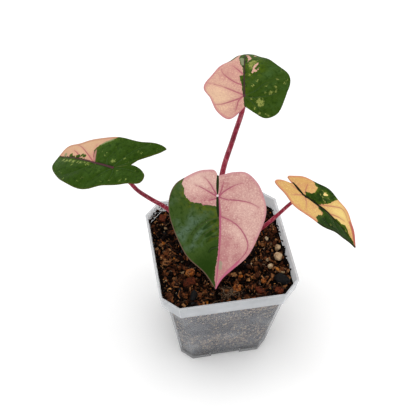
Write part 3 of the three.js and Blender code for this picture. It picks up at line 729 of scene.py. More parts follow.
def distance_to_line(x, y, line):
    """How far each point is from a line, and what share of the line's length lies before it."""
    line = np.array(line, float)
    nearest = np.full(len(x), np.inf)
    share = np.zeros(len(x))
    for k, (start, end) in enumerate(zip(line, line[1:])):
        step = end - start
        ahead = (x - start[0]) * step[0] + (y - start[1]) * step[1]
        part = np.clip(ahead / max(step @ step, 1e-9), 0, 1)
        distance = np.hypot(x - start[0] - part * step[0], y - start[1] - part * step[1])
        share = np.where(distance < nearest, (k + part) / (len(line) - 1), share)
        nearest = np.minimum(nearest, distance)
    return nearest, share


def bell(distance, width):
    """1 at no distance, falling off smoothly over a width."""
    return np.exp(-(distance / width) ** 2)


def depth_inside(x, y, areas):
    """How far inside the nearest of some areas each point is; minus outside them all."""
    depth = np.full(len(x), -FAR)
    for area in areas:
        if np.ndim(area) == 1:
            within = area[2] - np.hypot(x - area[0], y - area[1])
        else:
            distance, _ = distance_to_line(x, y, [*area, area[0]])
            inside = np.zeros(len(x), bool)
            for (x0, y0), (x1, y1) in zip(area, [*area[1:], area[0]]):
                if y0 != y1:
                    inside ^= ((y0 > y) != (y1 > y)) & (x < (x1 - x0) * (y - y0) / (y1 - y0) + x0)
            within = np.where(inside, distance, -distance)
        depth = np.maximum(depth, within)
    return depth


def depth_in_stripes(x, y, lines, width):
    """How far inside tapering stripes along some lines each point is."""
    depth = np.full(len(x), -FAR)
    for line in lines:
        distance, share = distance_to_line(x, y, smooth_curve(line, CURVE_STEPS))
        depth = np.maximum(depth, width * np.sqrt(np.sin(np.pi * (0.1 + 0.86 * share))) - distance)
    return depth


def flat_half(leaf, side):
    """One flat half of a blade: a grid laid from the midrib out to the margin."""
    bpy.ops.mesh.primitive_grid_add(x_subdivisions=MARGIN_STEPS, y_subdivisions=ROW_STEPS, size=1)
    half = bpy.context.object
    t, row = corners_of(half.data)[:, :2].T + 0.5
    outline = [leaf["notch"], *(leaf["left"] if side > 0 else leaf["right"]), leaf["tip"]]
    margin = smooth_curve(outline, MARGIN_SAMPLES)
    stations = np.linspace(0, 1, len(margin))
    end = np.stack([np.interp(t, stations, column) for column in margin.T], 1)
    back = leaf["notch"][0] * (1 - t / SEAM_END)
    ahead = leaf["tip"][0] * np.maximum(0, (t - FAN_END) / (1 - FAN_END))
    along = np.where(t < SEAM_END, back, ahead)
    start = np.stack([along, middle(leaf, along)], 1)
    span = np.linalg.norm(end - start, axis=1)
    place = start + (end - start) * row[:, None]
    forward = np.clip((t - SEAM_END) / (FAN_END - SEAM_END), 0, 1)
    bowed = VEIN_BOW * (LOBE_BOW + (1 - LOBE_BOW) * forward)
    place[:, 0] -= bowed * span * 2 * row * (1 - row)
    move_corners(half.data, np.column_stack([place, np.zeros(len(t))]))
    reach = np.minimum(1, span / 12)
    store(half.data, "ripple", leaf["wave"] * row**2 * np.sin(2 * np.pi * RIPPLES * t + side) * reach)
    store(half.data, "rim", (1 - row) * span)
    return half


def mark_blade(leaf, mesh):
    """Stores where the colours, veins and flecks lie, from the flat blade's own millimetres."""
    flat = corners_of(mesh)
    x, y = flat[:, 0], flat[:, 1]
    green = depth_inside(x, y, leaf["green_areas"])
    pale = depth_inside(x, y, leaf["pale_areas"])
    light = np.maximum(-green, pale) if leaf["mostly"] == "pale" else np.minimum(-green, pale)
    # Distances grow a little along a vein, so that it thins out towards its end
    vein = np.full(len(x), FAR)
    for line in leaf["veins"]:
        distance, share = distance_to_line(x, y, smooth_curve(line, CURVE_STEPS))
        vein = np.minimum(vein, distance + 0.28 * share**2)
    backbone = np.linspace(0.6, leaf["tip"][0], 60)
    rib, share = distance_to_line(x, y, np.column_stack([backbone, middle(leaf, backbone)]))
    rib += 0.5 * share
    cloud = np.zeros(len(x))
    for blot_x, blot_y, radius, strength in leaf["clouds"]:
        cloud += strength * bell(np.hypot(x - blot_x, y - blot_y), radius)
    marks = {
        "light": light, "vein": vein, "rib": rib, "cloud": cloud,
        "fleck": depth_inside(x, y, leaf["flecks"]), "sage": depth_inside(x, y, leaf["sage_areas"]),
        "seam": depth_in_stripes(x, y, leaf["seams"], leaf["seam_width"]),
        "flush": depth_in_stripes(x, y, leaf["flushes"], leaf["flush_width"]),
        # Stripes of painted shade beside the veins
        "deep_and_shade": depth_in_stripes(x, y, leaf["shade_stripes"], STRIPE_WIDTH),
    }
    for layer, values in marks.items():
        store(mesh, layer, np.clip(values, -FAR, FAR))
    store(mesh, "flat", flat)
    return marks


def grow_blade(leaf):
    """Two flat halves joined down the middle, marked, arched, quilted, and given a thickness."""
    halves = [flat_half(leaf, side) for side in (1, -1)]
    for half in halves:
        half.select_set(True)
    bpy.context.view_layer.objects.active = halves[0]
    bpy.ops.object.join()
    blade = bpy.context.object
    blade.name = "leaf_" + leaf["name"]
    mesh = blade.data
    mesh.name = blade.name
    edit(
        blade,
        (bpy.ops.mesh.remove_doubles, {"threshold": 0.004}),
        (bpy.ops.mesh.dissolve_degenerate, {"threshold": 0.002}),
        (bpy.ops.mesh.normals_make_consistent, {"inside": False}),
    )
    marks = mark_blade(leaf, mesh)
    x, y, _ = corners_of(mesh).T
    rim = stored(mesh, "rim")
    inner = np.clip(rim / 5, 0, 1)
    quilt = 0.55 * (1 - bell(np.minimum(marks["vein"], marks["rib"]), 3.2)) - 0.30
    groove = -0.22 * bell(marks["vein"], 0.5) - 0.35 * bell(marks["rib"], 0.9)
    rolled = 0.18 * bell(rim, 0.9)
    uneven = 0.22 * np.sin(0.31 * x + 0.17 * y + len(leaf["name"])) * np.sin(0.23 * y - 0.11 * x)
    lift = stored(mesh, "ripple") + (quilt + groove + uneven) * inner + rolled
    points, normals = arch_over(leaf, x, y)
    move_corners(mesh, (points + normals * lift[:, None]) * MM)
    outward = Vector(blade_directions(leaf)[2])
    if sum(face.normal.dot(outward) for face in mesh.polygons) < 0:
        edit(blade, (bpy.ops.mesh.flip_normals, {}))
    solidify = blade.modifiers.new("thickness", "SOLIDIFY")
    solidify.thickness = BLADE_THICKNESS * MM
    solidify.offset = -1
    solidify.material_offset = 1
    apply_modifiers(blade)
    ridge = MIDRIB_RELIEF * bell(marks["rib"], 0.8) + VEIN_RELIEF * bell(marks["vein"], 0.6)
    solid = corners_of(mesh)
    solid[len(x):] -= normals * (ridge * inner)[:, None] * MM
    move_corners(mesh, solid)
    smooth_shading(blade)
    return blade


# Each tone and amount has one value for each leaf, in the order of LEAVES
PALE_TONES = {
    "Pale": [(208, 160, 152), (212, 160, 146), (208, 166, 130), (220, 176, 102)],
    "Mottle": [(234, 198, 184), (238, 200, 166), (222, 182, 146), (248, 220, 140)],
    "Blush": [(188, 128, 128), (198, 138, 132), (208, 150, 132), (212, 152, 106)],
    "Pale_vein": [(168, 78, 106), (176, 94, 110), (176, 92, 104), (194, 120, 104)],
    "Pale_rim": [(204, 142, 148), (200, 128, 134), (190, 134, 108), (216, 140, 108)],
    "Mottling": [1.0, 1.0, 0.6, 0.75],
    "Blushing": [1.0, 0.7, 0.8, 0.9],
}
GREEN_TONES = {
    "Green": [(60, 82, 32), (54, 78, 18), (46, 72, 10), (34, 60, 10)],
    # Sheen is a painted sheen: the light off the green tissue
    "Sheen": [(90, 112, 90), (66, 94, 44), (62, 90, 32), (52, 78, 28)],
    # Deep green is darker tissue, and painted shade by the midrib and in the vein stripes
    "Deep_green": [(26, 52, 2), (28, 54, 4), (22, 46, 2), (20, 40, 4)],
    "Olive": [(86, 98, 24), (76, 98, 12), (70, 96, 14), (80, 104, 20)],
    "Fleck": [(150, 150, 110), (156, 162, 84), (150, 164, 84), (160, 160, 84)],
    "Green_vein": [(70, 72, 60), (62, 84, 48), (66, 92, 50), (42, 60, 26)],
    "Green_rim": [(106, 86, 70), (60, 80, 14), (64, 78, 14), (42, 50, 16)],
    "Olive_reach": [9.0, 8.0, 5.0, 3.0],
    "Flecks": [0.0, 0.5, 0.5, 0.5],
}
SKIN_TONES = {
    "Rib": [(180, 88, 120), (70, 48, 50), (84, 50, 58), (34, 38, 22)],
    "Seam": [(30, 46, 16), (54, 62, 30), (94, 100, 52), (22, 30, 12)],
    "Sage": [(160, 150, 128), (148, 152, 120), (136, 146, 100), (136, 146, 100)],
    "Flush": [(190, 84, 122), (194, 82, 122), (212, 146, 140), (178, 70, 82)],
    # The front leaf's Join is a painted highlight; the other leaves' are dark spots of their own
    "Join": [(232, 214, 212), (88, 54, 62), (86, 48, 54), (36, 40, 22)],
    "Join_size": [0.7, 0.9, 0.8, 1.1],
    "Ragged": [1.8, 2.8, 3.0, 2.2],
}
UNDERSIDE_GREY = tint(168, 158, 134)
UNDERSIDE_SHARE = 0.4


def tones_of(table, number, greyed):
    """The tones of the leaf with a number, mixed towards a grey by a share."""
    tones = {}
    for name, values in table.items():
        value = values[number]
        if isinstance(value, tuple):
            value = tuple(c * (1 - greyed) + g * greyed for c, g in zip(tint(*value), UNDERSIDE_GREY))
        tones[name] = value
    return tones


def leaf_material(name, number, greyed=0.0):
    material, tree, shader = new_material(name, 0.04)
    pale = use_group(tree, PALE_TISSUE, **tones_of(PALE_TONES, number, greyed))["Color"]
    green = use_group(tree, GREEN_TISSUE, **tones_of(GREEN_TONES, number, greyed))["Color"]
    tones = tones_of(SKIN_TONES, number, greyed)
    skin = use_group(tree, LEAF_SKIN, Pale_tissue=pale, Green_tissue=green, **tones)
    feed(tree, shader.inputs, Base_Color=skin["Color"], Roughness=skin["Roughness"])
    bump(tree, shader, skin["Height"], MM)
    return material


def make_blades():
    for number, leaf in enumerate(LEAVES):
        name = leaf["name"]
        blade = grow_blade(leaf)
        blade.data.materials.append(leaf_material("blade_" + name, number))
        blade.data.materials.append(leaf_material("underside_" + name, number, UNDERSIDE_SHARE))
        hand_over(blade, "blade_" + name, "blade_" + name)


# Stalks
CORM_TOP = 70
STALK_RING = 4.3
STALK_STEPS = 64
UNDER_BLADE = 1.3
# A stalk swells under its blade, over the last part of its length
FLARE = 0.35
FLARE_PART = 1 / 14


def stalk_material():
    material, tree, shader = new_material("crimson_stalk", 0.25)
    place = object_place(tree)
    streaks = noise(tree, object_place(tree, (1, 1, 0.28)), 900.0, 4.0, 0.7)
    clouds = noise(tree, place, 130.0, 2.0, 0.5)
    colour = lay_over(
        tree, tint(122, 16, 42),
        (ramp(tree, clouds, 0.35, 0.65), 1.0, tint(156, 34, 62)),
        (ramp(tree, streaks, 0.50, 0.64), 0.65, tint(200, 118, 128)))
    feed(tree, shader.inputs, Base_Color=colour, Roughness=ramp(tree, streaks, 0.3, 0.7, 0.35, 0.5))
    bump(tree, shader, streaks, 0.00008)
    return material


def stalk_course(leaf):
    foot = math.radians(leaf["foot"])
    x, y = STALK_RING * math.cos(foot), STALK_RING * math.sin(foot)
    path = [(x, y, CORM_TOP - 5), (x * 1.2, y * 1.2, CORM_TOP + 8), *leaf["stalk"], leaf["join"]]
    return smooth_curve(path, STALK_STEPS)


def make_stalk(leaf):
    """A tapering round stalk, swept along its course and cut off level under its blade."""
    bpy.ops.curve.primitive_bezier_curve_add()
    stalk = bpy.context.object
    stalk.name = "stalk_" + leaf["name"]
    stalk.data.splines.clear()
    spline = stalk.data.splines.new("POLY")
    course = [(k / (STALK_STEPS - 1), point) for k, point in enumerate(stalk_course(leaf))]
    course = [(share, point) for share, point in course if point[2] > CORM_TOP + 0.4]
    spline.points.add(len(course) - 1)
    low, high = leaf["stalk_radius"]
    for knot, (share, point) in zip(spline.points, course):
        knot.co = (*(point * MM), 1)
        flare = FLARE * max(0, 1 - (1 - share) / FLARE_PART)
        knot.radius = (low + (high - low) * math.sqrt(share) + flare) * MM
    stalk.data.dimensions = "3D"
    stalk.data.bevel_depth = 1
    stalk.data.bevel_resolution = 6
    stalk.data.use_fill_caps = True
    only(stalk)
    bpy.ops.object.convert(target="MESH")
    stalk = bpy.context.object
    out = blade_directions(leaf)[2]
    points = corners_of(stalk.data)
    above = (points - np.array(leaf["join"]) * MM) @ out + UNDER_BLADE * MM
    move_corners(stalk.data, points - np.outer(np.maximum(0, above), out))
    edit(
        stalk,
        (bpy.ops.mesh.remove_doubles, {"threshold": 1e-6}),
        (bpy.ops.mesh.normals_make_consistent, {"inside": False}),
    )
    smooth_shading(stalk, 50)
    stalk.data.materials.clear()
    return stalk


def make_stalks():
    finish = stalk_material()
    for leaf in LEAVES:
        stalk = make_stalk(leaf)
        stalk.data.materials.append(finish)
        hand_over(stalk, "stalk", "petiole_" + leaf["name"])


# Pot
# Foot tone is a painted contact shadow at the pot's foot, in the body and on its edges
PLASTIC_TONES = dict(
    Tone=tint(152, 156, 163), Collar_tone=tint(218, 221, 225), Foot_tone=tint(78, 79, 82),
    Smudge=tint(228, 230, 232), Body_alpha=0.3, Collar_alpha=0.56)
# The rounded edges are lighter: a painted highlight along them, with denser frosting
EDGE_HIGHLIGHT_TONES = dict(
    Tone=tint(184, 186, 188), Collar_tone=tint(244, 245, 247), Foot_tone=tint(78, 79, 82),
    Smudge=tint(244, 245, 246), Body_alpha=0.38, Collar_alpha=0.8)


def frosted_material(name, tones):
    material, tree, shader = new_material(name, 0.4)
    skin = use_group(tree, FROST, **tones)
    feed(tree, shader.inputs, Base_Color=skin["Color"], Alpha=skin["Alpha"], Roughness=0.35)
    bump(tree, shader, skin["Height"], 0.0002)
    return material


def make_pot():
    pot = copy_of_node("pot")
    edit(pot, (bpy.ops.mesh.dissolve_limited, {"angle_limit": math.radians(1)}))
    rounding = pot.modifiers.new("rounding", "BEVEL")
    rounding.width = 0.45 * MM
    rounding.segments = 3
    rounding.limit_method = "ANGLE"
    rounding.angle_limit = math.radians(20)
    # The rounded edges take the lighter edge material, a painted highlight
    rounding.material = 1
    pot.data.materials.append(frosted_material("frosted_plastic", PLASTIC_TONES))
    pot.data.materials.append(frosted_material("frosted_edge_highlight", EDGE_HIGHLIGHT_TONES))
    apply_modifiers(pot)
    smooth_shading(pot, 35)
    hand_over(pot, "pot", "pot")


# Potting mix

# Half the room inside the collar, and how far across plus along may reach in its cut corners
POT_ROOM = 42.6
CORNER_ROOM = 2 * POT_ROOM - 10.2
RAY_HEIGHT = 95
LUMP_KINDS = ("charcoal", "pumice", "clay", "bark")
LUMPS = [name for name in nodes if name.split("_")[0] in LUMP_KINDS]


def mix_material():
    """The mix body: painted black shade between the pieces on top; speckled where it lies against the
    pot.
    """
    material, tree, shader = new_material("mix_and_gap_shade", 0.05)
    place = object_place(tree)
    height = add(tree, "SeparateXYZ", Vector=place).outputs["Z"]
    cells = add(tree, "TexVoronoi", Vector=place, Scale=640.0)
    pick = add(tree, "SeparateColor", Color=cells.outputs["Color"])
    crowd = noise(tree, object_place(tree, (1, 1, 1.9)), 42.0, 3.0, 0.6)
    clouds = noise(tree, place, 210.0, 4.0, 0.7)
    from_band = calc(tree, "ABSOLUTE", calc(tree, "SUBTRACT", height, MIX_BAND))
    band = ramp(tree, from_band, 0.003, 0.013)
    crowd = calc(tree, "MULTIPLY_ADD", band, 0.2, calc(tree, "SUBTRACT", crowd, 0.12))
    chosen = calc(tree, "MULTIPLY_ADD", crowd, 1.6, pick.outputs["Red"])
    core = ramp(tree, cells.outputs["Distance"], 0.75, 0.25)
    colour = lay_over(
        tree, tint(20, 17, 17),
        (ramp(tree, clouds, 0.36, 0.64), 1.0, tint(66, 50, 42)),
        (times(tree, ramp(tree, chosen, 1.12, 1.24), core), 0.7, tint(118, 92, 72)),
        (times(tree, ramp(tree, chosen, 1.38, 1.52), core), 0.9, tint(226, 194, 158)),
        # Painted shade: the top of the mix turns near black, for the shaded gaps between the pieces
        (ramp(tree, height, *MIX_GAP_SHADE), 1.0, tint(15, 10, 8)))
    feed(tree, shader.inputs, Base_Color=colour, Roughness=ramp(tree, clouds, 0.3, 0.7, 0.75, 0.95))
    bump(tree, shader, calc(tree, "SUBTRACT", 1.0, cells.outputs["Distance"]), 0.0005)
    return material


def palette_material(name, colours, roughness=0.8, relief=0.0003, specular=0.08):
    """Bits of one kind: each has its own tone, stored in the mesh, picked from a few colours."""
    material, tree, shader = new_material(name, specular)
    picker = add(tree, "ValToRGB", Fac=attributes(tree, "tone")[0])
    steps = picker.color_ramp.elements
    steps[0].position, steps[0].color = 0, colours[0]
    steps[1].position, steps[1].color = 1, colours[-1]
    for k, colour in enumerate(colours[1:-1], 1):
        steps.new(k / (len(colours) - 1)).color = colour
    grains = noise(tree, object_place(tree), 1300.0, 3.0, 0.65)
    dark = blend(tree, 0.6, picker.outputs["Color"], tint(10, 8, 7))
    colour = blend(tree, ramp(tree, grains, 0.60, 0.38), picker.outputs["Color"], dark)
    rough = ramp(tree, grains, 0.3, 0.7, roughness - 0.1, roughness + 0.1)
    feed(tree, shader.inputs, Base_Color=colour, Roughness=rough)
    bump(tree, shader, grains, relief)
    return material


def begin_model(seed):
    """The model just added, chance for it, and its corners."""
    model = bpy.context.object
    return model, np.random.default_rng(seed), corners_of(model.data)


def model_grain(seed):
    """A rounded grain about 1 across, worn flat in places."""
    bpy.ops.mesh.primitive_ico_sphere_add(subdivisions=2, radius=0.5)
    grain, chance, points = begin_model(seed)
    for _ in range(8):
        facing = chance.normal(size=3)
        facing /= np.linalg.norm(facing)
        proud = points @ facing - chance.uniform(0.22, 0.40)
        points -= np.outer(np.maximum(0, proud), facing)
    move_corners(grain.data, points)
    edit(grain, (bpy.ops.mesh.dissolve_limited, {"angle_limit": math.radians(6)}))
    return grain


def model_crumb(seed):
    """A knobbly crumb of 20 faces, about 1 across."""
    bpy.ops.mesh.primitive_ico_sphere_add(subdivisions=1, radius=0.5)
    crumb, chance, points = begin_model(seed)
    move_corners(crumb.data, points * chance.uniform(0.65, 1.2, (len(points), 1)))
    return crumb


def model_chip(seed):
    """A split chip of bark: a slab with worn, uneven corners."""
    bpy.ops.mesh.primitive_cube_add(size=1)
    edit(bpy.context.object, (bpy.ops.mesh.bevel, {"offset": 0.12, "segments": 1, "affect": "EDGES"}))
    chip, chance, points = begin_model(seed)
    points[:, :2] *= chance.uniform(0.70, 1.05, (len(points), 1))
    points[:, 2] *= chance.uniform(0.6, 1.1, len(points))
    move_corners(chip.data, points)
    return chip


def model_strand(seed):
    """A curled three-sided strand of coir, 1 long."""
    bpy.ops.mesh.primitive_cylinder_add(vertices=3, radius=0.035, depth=1)
    levels = [k / 6 - 0.5 for k in range(1, 6)]
    cuts = [(bpy.ops.mesh.bisect, {"plane_co": (0, 0, z), "plane_no": (0, 0, 1)}) for z in levels]
    edit(bpy.context.object, *cuts)
    strand, chance, points = begin_model(seed)
    points[:, 0] += 0.16 * np.sin(5 * points[:, 2] + chance.uniform(0, 6))
    points[:, 1] += 0.14 * np.sin(7 * points[:, 2] + chance.uniform(0, 6))
    move_corners(strand.data, points[:, [2, 0, 1]])
    return strand


def lump_room():
    """The middle and the half size of each larger lump, in plan."""
    boxes = [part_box(name) for name in LUMPS]
    return [((low + high) / 2 / MM, (high - low) / 2 / MM) for low, high in boxes]


LUMP_ROOM = lump_room()


def is_free(x, y, margin):
    """Whether a place on the mix is clear of the wall and of the larger lumps."""
    if max(abs(x), abs(y)) > POT_ROOM - margin or abs(x) + abs(y) > CORNER_ROOM - 2 * margin:
        return False
    return not any(((x - c.x) / r.x) ** 2 + ((y - c.y) / r.y) ** 2 < 0.9 for c, r in LUMP_ROOM)


def spots(chance, count, margin):
    """Random free places on the mix."""
    room = POT_ROOM - margin
    found = []
    while len(found) < count:
        x, y = chance.uniform(-room, room, 2)
        if is_free(x, y, margin):
            found.append((x, y))
    return found


def bit_size(chance, length, wide, thick):
    """A bit's length, width and thickness, the last two as random shares of the length."""
    return length, length * chance.uniform(*wide), length * chance.uniform(*thick)


def any_tone(chance):
    return chance.uniform(0, 1)


def bits(chance, count, shortest, longest, wide, thick, tone=any_tone):
    """Random bits of one kind: (x, y, size, tone)."""
    made = []
    for x, y in spots(chance, count, 0.35 * longest):
        length = shortest + (longest - shortest) * chance.beta(1.2, 2.4)
        made.append((x, y, bit_size(chance, length, wide, thick), tone(chance)))
    return made


def brown_bits(chance, longest, wide, thick):
    """Larger, paler bits that lie thicker in the browner patches of the mix."""
    made = []
    for patch_x, patch_y, spread, count in BROWN_PATCHES:
        for _ in range(count):
            x, y = chance.normal((patch_x, patch_y), spread)
            if is_free(x, y, margin=1.5):
                size = bit_size(chance, chance.uniform(1.2, longest), wide, thick)
                made.append((x, y, size, chance.uniform(0.35, 1)))
    return made


def chosen_grains(places):
    """Grains at places that are given as (x, y, size, tone)."""
    return [(x, y, (size, 0.85 * size, 0.75 * size), tone) for x, y, size, tone in places]


def strew(name, slot, models, placed, colours, sink=0.0, tumble=0.45, **finish):
    """Copies small models over the mix; sink is the share of each that lies below the surface."""
    chance = np.random.default_rng(sum(map(ord, name)))
    body = nodes["potting_mix"].data
    surface = BVHTree.FromPolygons([corner.co for corner in body.vertices], faces_of(body))
    shapes = [(corners_of(model.data), faces_of(model.data)) for model in models]
    points, faces, tones = [], [], []
    total = 0
    for x, y, size, tone, *height in placed:
        hit, normal, _, _ = surface.ray_cast(Vector((x, y, RAY_HEIGHT)) * MM, Vector((0, 0, -1)))
        if height:
            hit, normal = Vector((x, y, height[0])) * MM, Vector((0, 0, 1))
        if hit is None or hit.z < CORM_TOP * MM:
            continue
        shape, shape_faces = shapes[chance.integers(len(shapes))]
        over_x = Quaternion((1, 0, 0), chance.normal(0, tumble))
        over_y = Quaternion((0, 1, 0), chance.normal(0, tumble))
        turn = Quaternion((0, 0, 1), chance.uniform(0, 2 * math.pi))
        upright = Vector((0, 0, 1)).rotation_difference(normal)
        copy = (shape * np.array(size)) @ np.array((upright @ (over_x @ over_y) @ turn).to_matrix()).T
        rise = copy[:, 2].max() * (1 - 2 * sink) + chance.uniform(-0.2, 0.4)
        points.append(copy + (x, y, hit.z / MM + rise))
        faces += [tuple(corner + total for corner in face) for face in shape_faces]
        tones.append(np.full(len(shape), tone))
        total += len(shape)
    mesh = bpy.data.meshes.new(name)
    mesh.from_pydata(np.vstack(points) * MM, [], faces)
    mesh.update()
    store(mesh, "tone", np.concatenate(tones))
    piece = bpy.data.objects.new(name, mesh)
    bpy.context.scene.collection.objects.link(piece)
    mesh.materials.append(palette_material(name, colours, **finish))
    smooth_shading(piece, 26)
    for model in models:
        bpy.data.objects.remove(model)
    hand_over(piece, slot)


DARK_EARTH = [tint(8, 6, 6), tint(20, 13, 10), tint(52, 32, 22), tint(120, 78, 50), tint(196, 150, 104)]
BARK_TONES = [tint(14, 9, 8), tint(36, 20, 14), tint(88, 48, 28), tint(138, 80, 44), tint(196, 142, 92)]
OCHRE_TONES = [tint(120, 54, 20), tint(176, 92, 32), tint(212, 132, 52), tint(222, 166, 108)]
CREAM_TONES = [tint(150, 118, 84), tint(196, 166, 126), tint(226, 206, 174)]
COAL_TONES = [tint(7, 7, 8), tint(14, 15, 16), tint(30, 32, 35)]
STRAW_TONES = [tint(44, 26, 16), tint(92, 58, 38), tint(136, 108, 84), tint(180, 158, 132)]

# Clay and pumice grains that catch the eye: (x, y, size, tone)
CLAY_PLACES = [
    (33.6, -21.6, 3.4, 0.7), (9.1, -21.6, 4.4, 0.45), (14.3, -25.3, 3.4, 0.95), (16.8, -24.2, 2.6, 0.8),
    (-36.6, 12.1, 4, 0.5), (-37.4, -23.8, 3.6, 0.85), (-15.9, -38.7, 5.5, 0.6), (-30.8, -1.2, 2.4, 0.6),
]
PUMICE_PLACES = [
    (32.7, 6.2, 3.8, 0.8), (29.2, -12.7, 3.2, 0.6), (37.2, -23, 3.4, 0.5), (39.2, -20.2, 2.2, 0.5),
    (-27, -12.4, 3.6, 0.4), (-38.6, -16.5, 2.6, 0.3), (-32.7, 25.4, 3, 0.3), (34.5, 0.8, 2.2, 0.3),
]
# A tuft of coir near the front wall: its middle, its spread, and how near the wall it may come
TUFT = (-1, -33)
TUFT_SPREAD = (3.4, 2.6)
TUFT_FRONT = -38.5
# The wall above the mix: how far out crumbs cling to it, its room at one height and its lean, and
# how much its cut corners take from across plus along
CLING_REACH = 42.3
WALL_ROOM = 42.2
WALL_LEVEL = 77.5
WALL_LEAN = 0.11
WALL_CORNER = 9.8
# Where the mix is browner: (x, y, spread, bits)
BROWN_PATCHES = [(-34, -10, 6, 70), (-36, 8, 4, 30), (-22, -30, 7, 60), (33, -14, 7, 90),
                 (34, 10, 5, 50), (12, -34, 7, 60)]


def wall_crumbs(chance, count):
    """Crumbs that cling to the inside of the wall above the mix, most of them in the back left corner."""
    clinging = []
    for _ in range(count):
        spread = chance.normal(0, 1)
        if chance.uniform() < 0.55:
            x, y = -38 + 4 * spread, 38 + 4 * spread
        else:
            x = -CLING_REACH if chance.uniform() < 0.7 else CLING_REACH
            y = chance.uniform(-30, 34)
        height = 79 + 5 * chance.beta(1, 2.2)
        room = WALL_ROOM + WALL_LEAN * (height - WALL_LEVEL)
        x, y = max(-room, min(room, x)), max(-room, min(room, y))
        over = abs(x) + abs(y) - (2 * room - WALL_CORNER)
        if over > 0:
            x, y = x - math.copysign(over / 2, x), y - math.copysign(over / 2, y)
        size = chance.uniform(0.6, 1.8)
        clinging.append((x, y, (size, size * 0.8, size * 0.7), chance.beta(1.2, 2.4), height))
    return clinging


def strew_mix():
    chance = np.random.default_rng(11)
    crumbs = bits(chance, 6000, shortest=0.6, longest=2.3, wide=(0.5, 1), thick=(0.5, 0.9),
                  tone=lambda c: c.beta(0.8, 2.5))
    crumbs += wall_crumbs(chance, 170)
    models = [model_crumb(k) for k in range(4)]
    strew("dark_crumbs", "mix", models, crumbs, DARK_EARTH, sink=0.3, roughness=0.85)

    chips = bits(chance, 560, shortest=1.6, longest=5.2, wide=(0.3, 0.75), thick=(0.25, 0.5),
                 tone=lambda c: c.beta(1.1, 1.8))
    chips += brown_bits(chance, longest=3.6, wide=(0.4, 0.8), thick=(0.3, 0.5))
    models = [model_chip(k) for k in range(5)]
    strew("bark_chips", "bark", models, chips, BARK_TONES, sink=0.1, tumble=0.6, relief=0.0004)

    splinters = bits(chance, 620, shortest=2, longest=6, wide=(0.10, 0.24), thick=(0.10, 0.18),
                     tone=lambda c: c.beta(1.0, 1.4))
    models = [model_chip(10 + k) for k in range(4)]
    strew("bark_splinters", "bark", models, splinters, BARK_TONES)

    ochre = bits(chance, 260, shortest=0.8, longest=2.2, wide=(0.7, 1), thick=(0.6, 0.9))
    ochre += chosen_grains(CLAY_PLACES)
    models = [model_grain(k) for k in range(3)]
    strew("clay_grains", "clay", models, ochre, OCHRE_TONES)

    grit = bits(chance, 50, shortest=0.8, longest=2, wide=(0.8, 1), thick=(0.7, 0.9))
    grit += chosen_grains(PUMICE_PLACES)
    models = [model_grain(10 + k) for k in range(3)]
    strew("pumice_grit", "pumice", models, grit, CREAM_TONES, roughness=0.85)

    cinders = bits(chance, 70, shortest=1.8, longest=4.5, wide=(0.5, 0.9), thick=(0.4, 0.6))
    models = [model_grain(20 + k) for k in range(3)]
    strew("charcoal_bits", "charcoal", models, cinders, COAL_TONES, sink=0.15, roughness=0.6,
          specular=0.25)

    strands = []
    for x, y in spots(chance, 300, margin=2.6):
        strands.append((x, y, (chance.uniform(3, 7.5), 6, 6), chance.beta(1.2, 2)))
    for _ in range(60):
        x, y = chance.normal(TUFT, TUFT_SPREAD)
        if y > TUFT_FRONT:
            strands.append((x, y, (chance.uniform(3, 6.5), 6, 6), chance.uniform(0.5, 0.95)))
    models = [model_strand(k) for k in range(4)]
    strew("coir_strands", "mix", models, strands, STRAW_TONES, tumble=0.25, relief=0.0001)


FINISHES = {
    "charcoal": dict(relief=0.0007, specular=0.22, Tone=tint(12, 12, 13), Dark_tone=tint(6, 6, 7),
                     Light_tone=tint(36, 39, 43), Patch_size=0.003, Grain_size=0.0008, Contrast=0.5),
    "pumice": dict(relief=0.0005, Tone=tint(214, 188, 150), Dark_tone=tint(158, 124, 86),
                   Light_tone=tint(236, 218, 190), Patch_size=0.003, Grain_size=0.0006, Contrast=0.9),
    "clay": dict(relief=0.0009, Tone=tint(172, 96, 38), Dark_tone=tint(84, 36, 16),
                 Light_tone=tint(244, 204, 150), Patch_size=0.0022, Grain_size=0.0008, Contrast=1.0),
    "bark": dict(relief=0.0009, Tone=tint(92, 38, 22), Dark_tone=tint(34, 15, 11),
                 Light_tone=tint(168, 104, 60), Patch_size=0.0018, Grain_size=0.0005, Contrast=1.0),
    "corm": dict(relief=0.0006, Tone=tint(112, 78, 54), Dark_tone=tint(64, 42, 28),
                 Light_tone=tint(164, 128, 92), Patch_size=0.003, Grain_size=0.0006, Contrast=0.6),
}
# How rough each kind is in millimetres, how wide its dents are, and below what angle edges look round
LUMP_SHAPES = {
    "charcoal": (0.5, 3.0, 18), "pumice": (0.4, 2.2, 18), "clay": (2.4, 2.0, 30), "bark": (1.4, 1.6, 25),
}


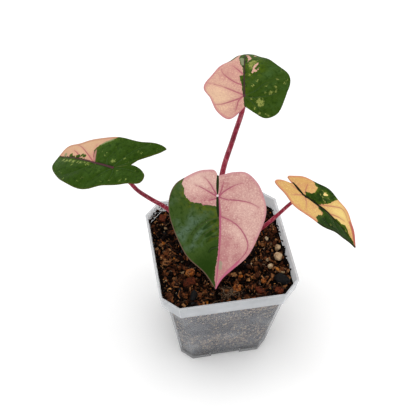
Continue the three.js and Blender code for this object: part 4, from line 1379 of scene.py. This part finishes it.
def make_lumps():
    """Each larger lump: its CAD solid cut finer and dented."""
    finishes = {kind: grain_material(kind + "_lump", **FINISHES[kind]) for kind in LUMP_KINDS}
    for name in LUMPS:
        kind = name.split("_")[0]
        rough, dent, facet = LUMP_SHAPES[kind]
        lump = copy_of_node(name)
        edit(lump, (bpy.ops.mesh.bevel, {"offset": 0.4 * MM, "segments": 1, "affect": "EDGES"}))
        finer = lump.modifiers.new("finer", "SUBSURF")
        finer.subdivision_type = "SIMPLE"
        finer.levels = finer.render_levels = 3 if kind == "bark" else 2
        dents = lump.modifiers.new("dents", "DISPLACE")
        dents.texture = bpy.data.textures.new(name + "_dents", "CLOUDS")
        dents.texture.noise_scale = dent * MM
        dents.texture.noise_depth = 3
        dents.strength = rough * MM
        apply_modifiers(lump)
        smooth_shading(lump, facet)
        lump.data.materials.append(finishes[kind])
        hand_over(lump, kind, name)


def finish_carried_solids():
    finishes = {
        "potting_mix": mix_material(),
        "corm_with_roots": grain_material("corm_skin", **FINISHES["corm"]),
    }
    for name, finish in finishes.items():
        nodes[name].data.materials.clear()
        nodes[name].data.materials.append(finish)


# Floor and light
def make_studio():
    scene = bpy.context.scene
    scene.view_settings.view_transform = "Standard"
    bpy.ops.mesh.primitive_plane_add(size=6)
    floor = bpy.context.object
    floor.name = "floor"
    material, tree, shader = new_material("pale_floor", 0.0)
    feed(tree, shader.inputs, Base_Color=tint(252, 252, 252), Roughness=1,
         Emission_Color=(1, 1, 1, 1), Emission_Strength=0.13)
    floor.data.materials.append(material)
    scene.world = bpy.data.worlds.new("studio")
    scene.world.use_nodes = True
    tree = scene.world.node_tree
    seen = add(tree, "LightPath").outputs["Is Camera Ray"]
    brightness = add(tree, "MapRange", Value=seen, To_Min=0.74, To_Max=1.0).outputs[0]
    feed(tree, tree.nodes["Background"].inputs, Color=(1, 1, 1, 1), Strength=brightness)
    bpy.ops.object.light_add(type="SUN", rotation=(math.radians(-5), math.radians(-3), 0))
    lamp = bpy.context.object
    lamp.name = "overhead_light"
    lamp.data.energy = 1.05
    lamp.data.angle = math.radians(44)


set_up_camera()
make_studio()
make_pot()
finish_carried_solids()
strew_mix()
make_lumps()
make_stalks()
make_blades()
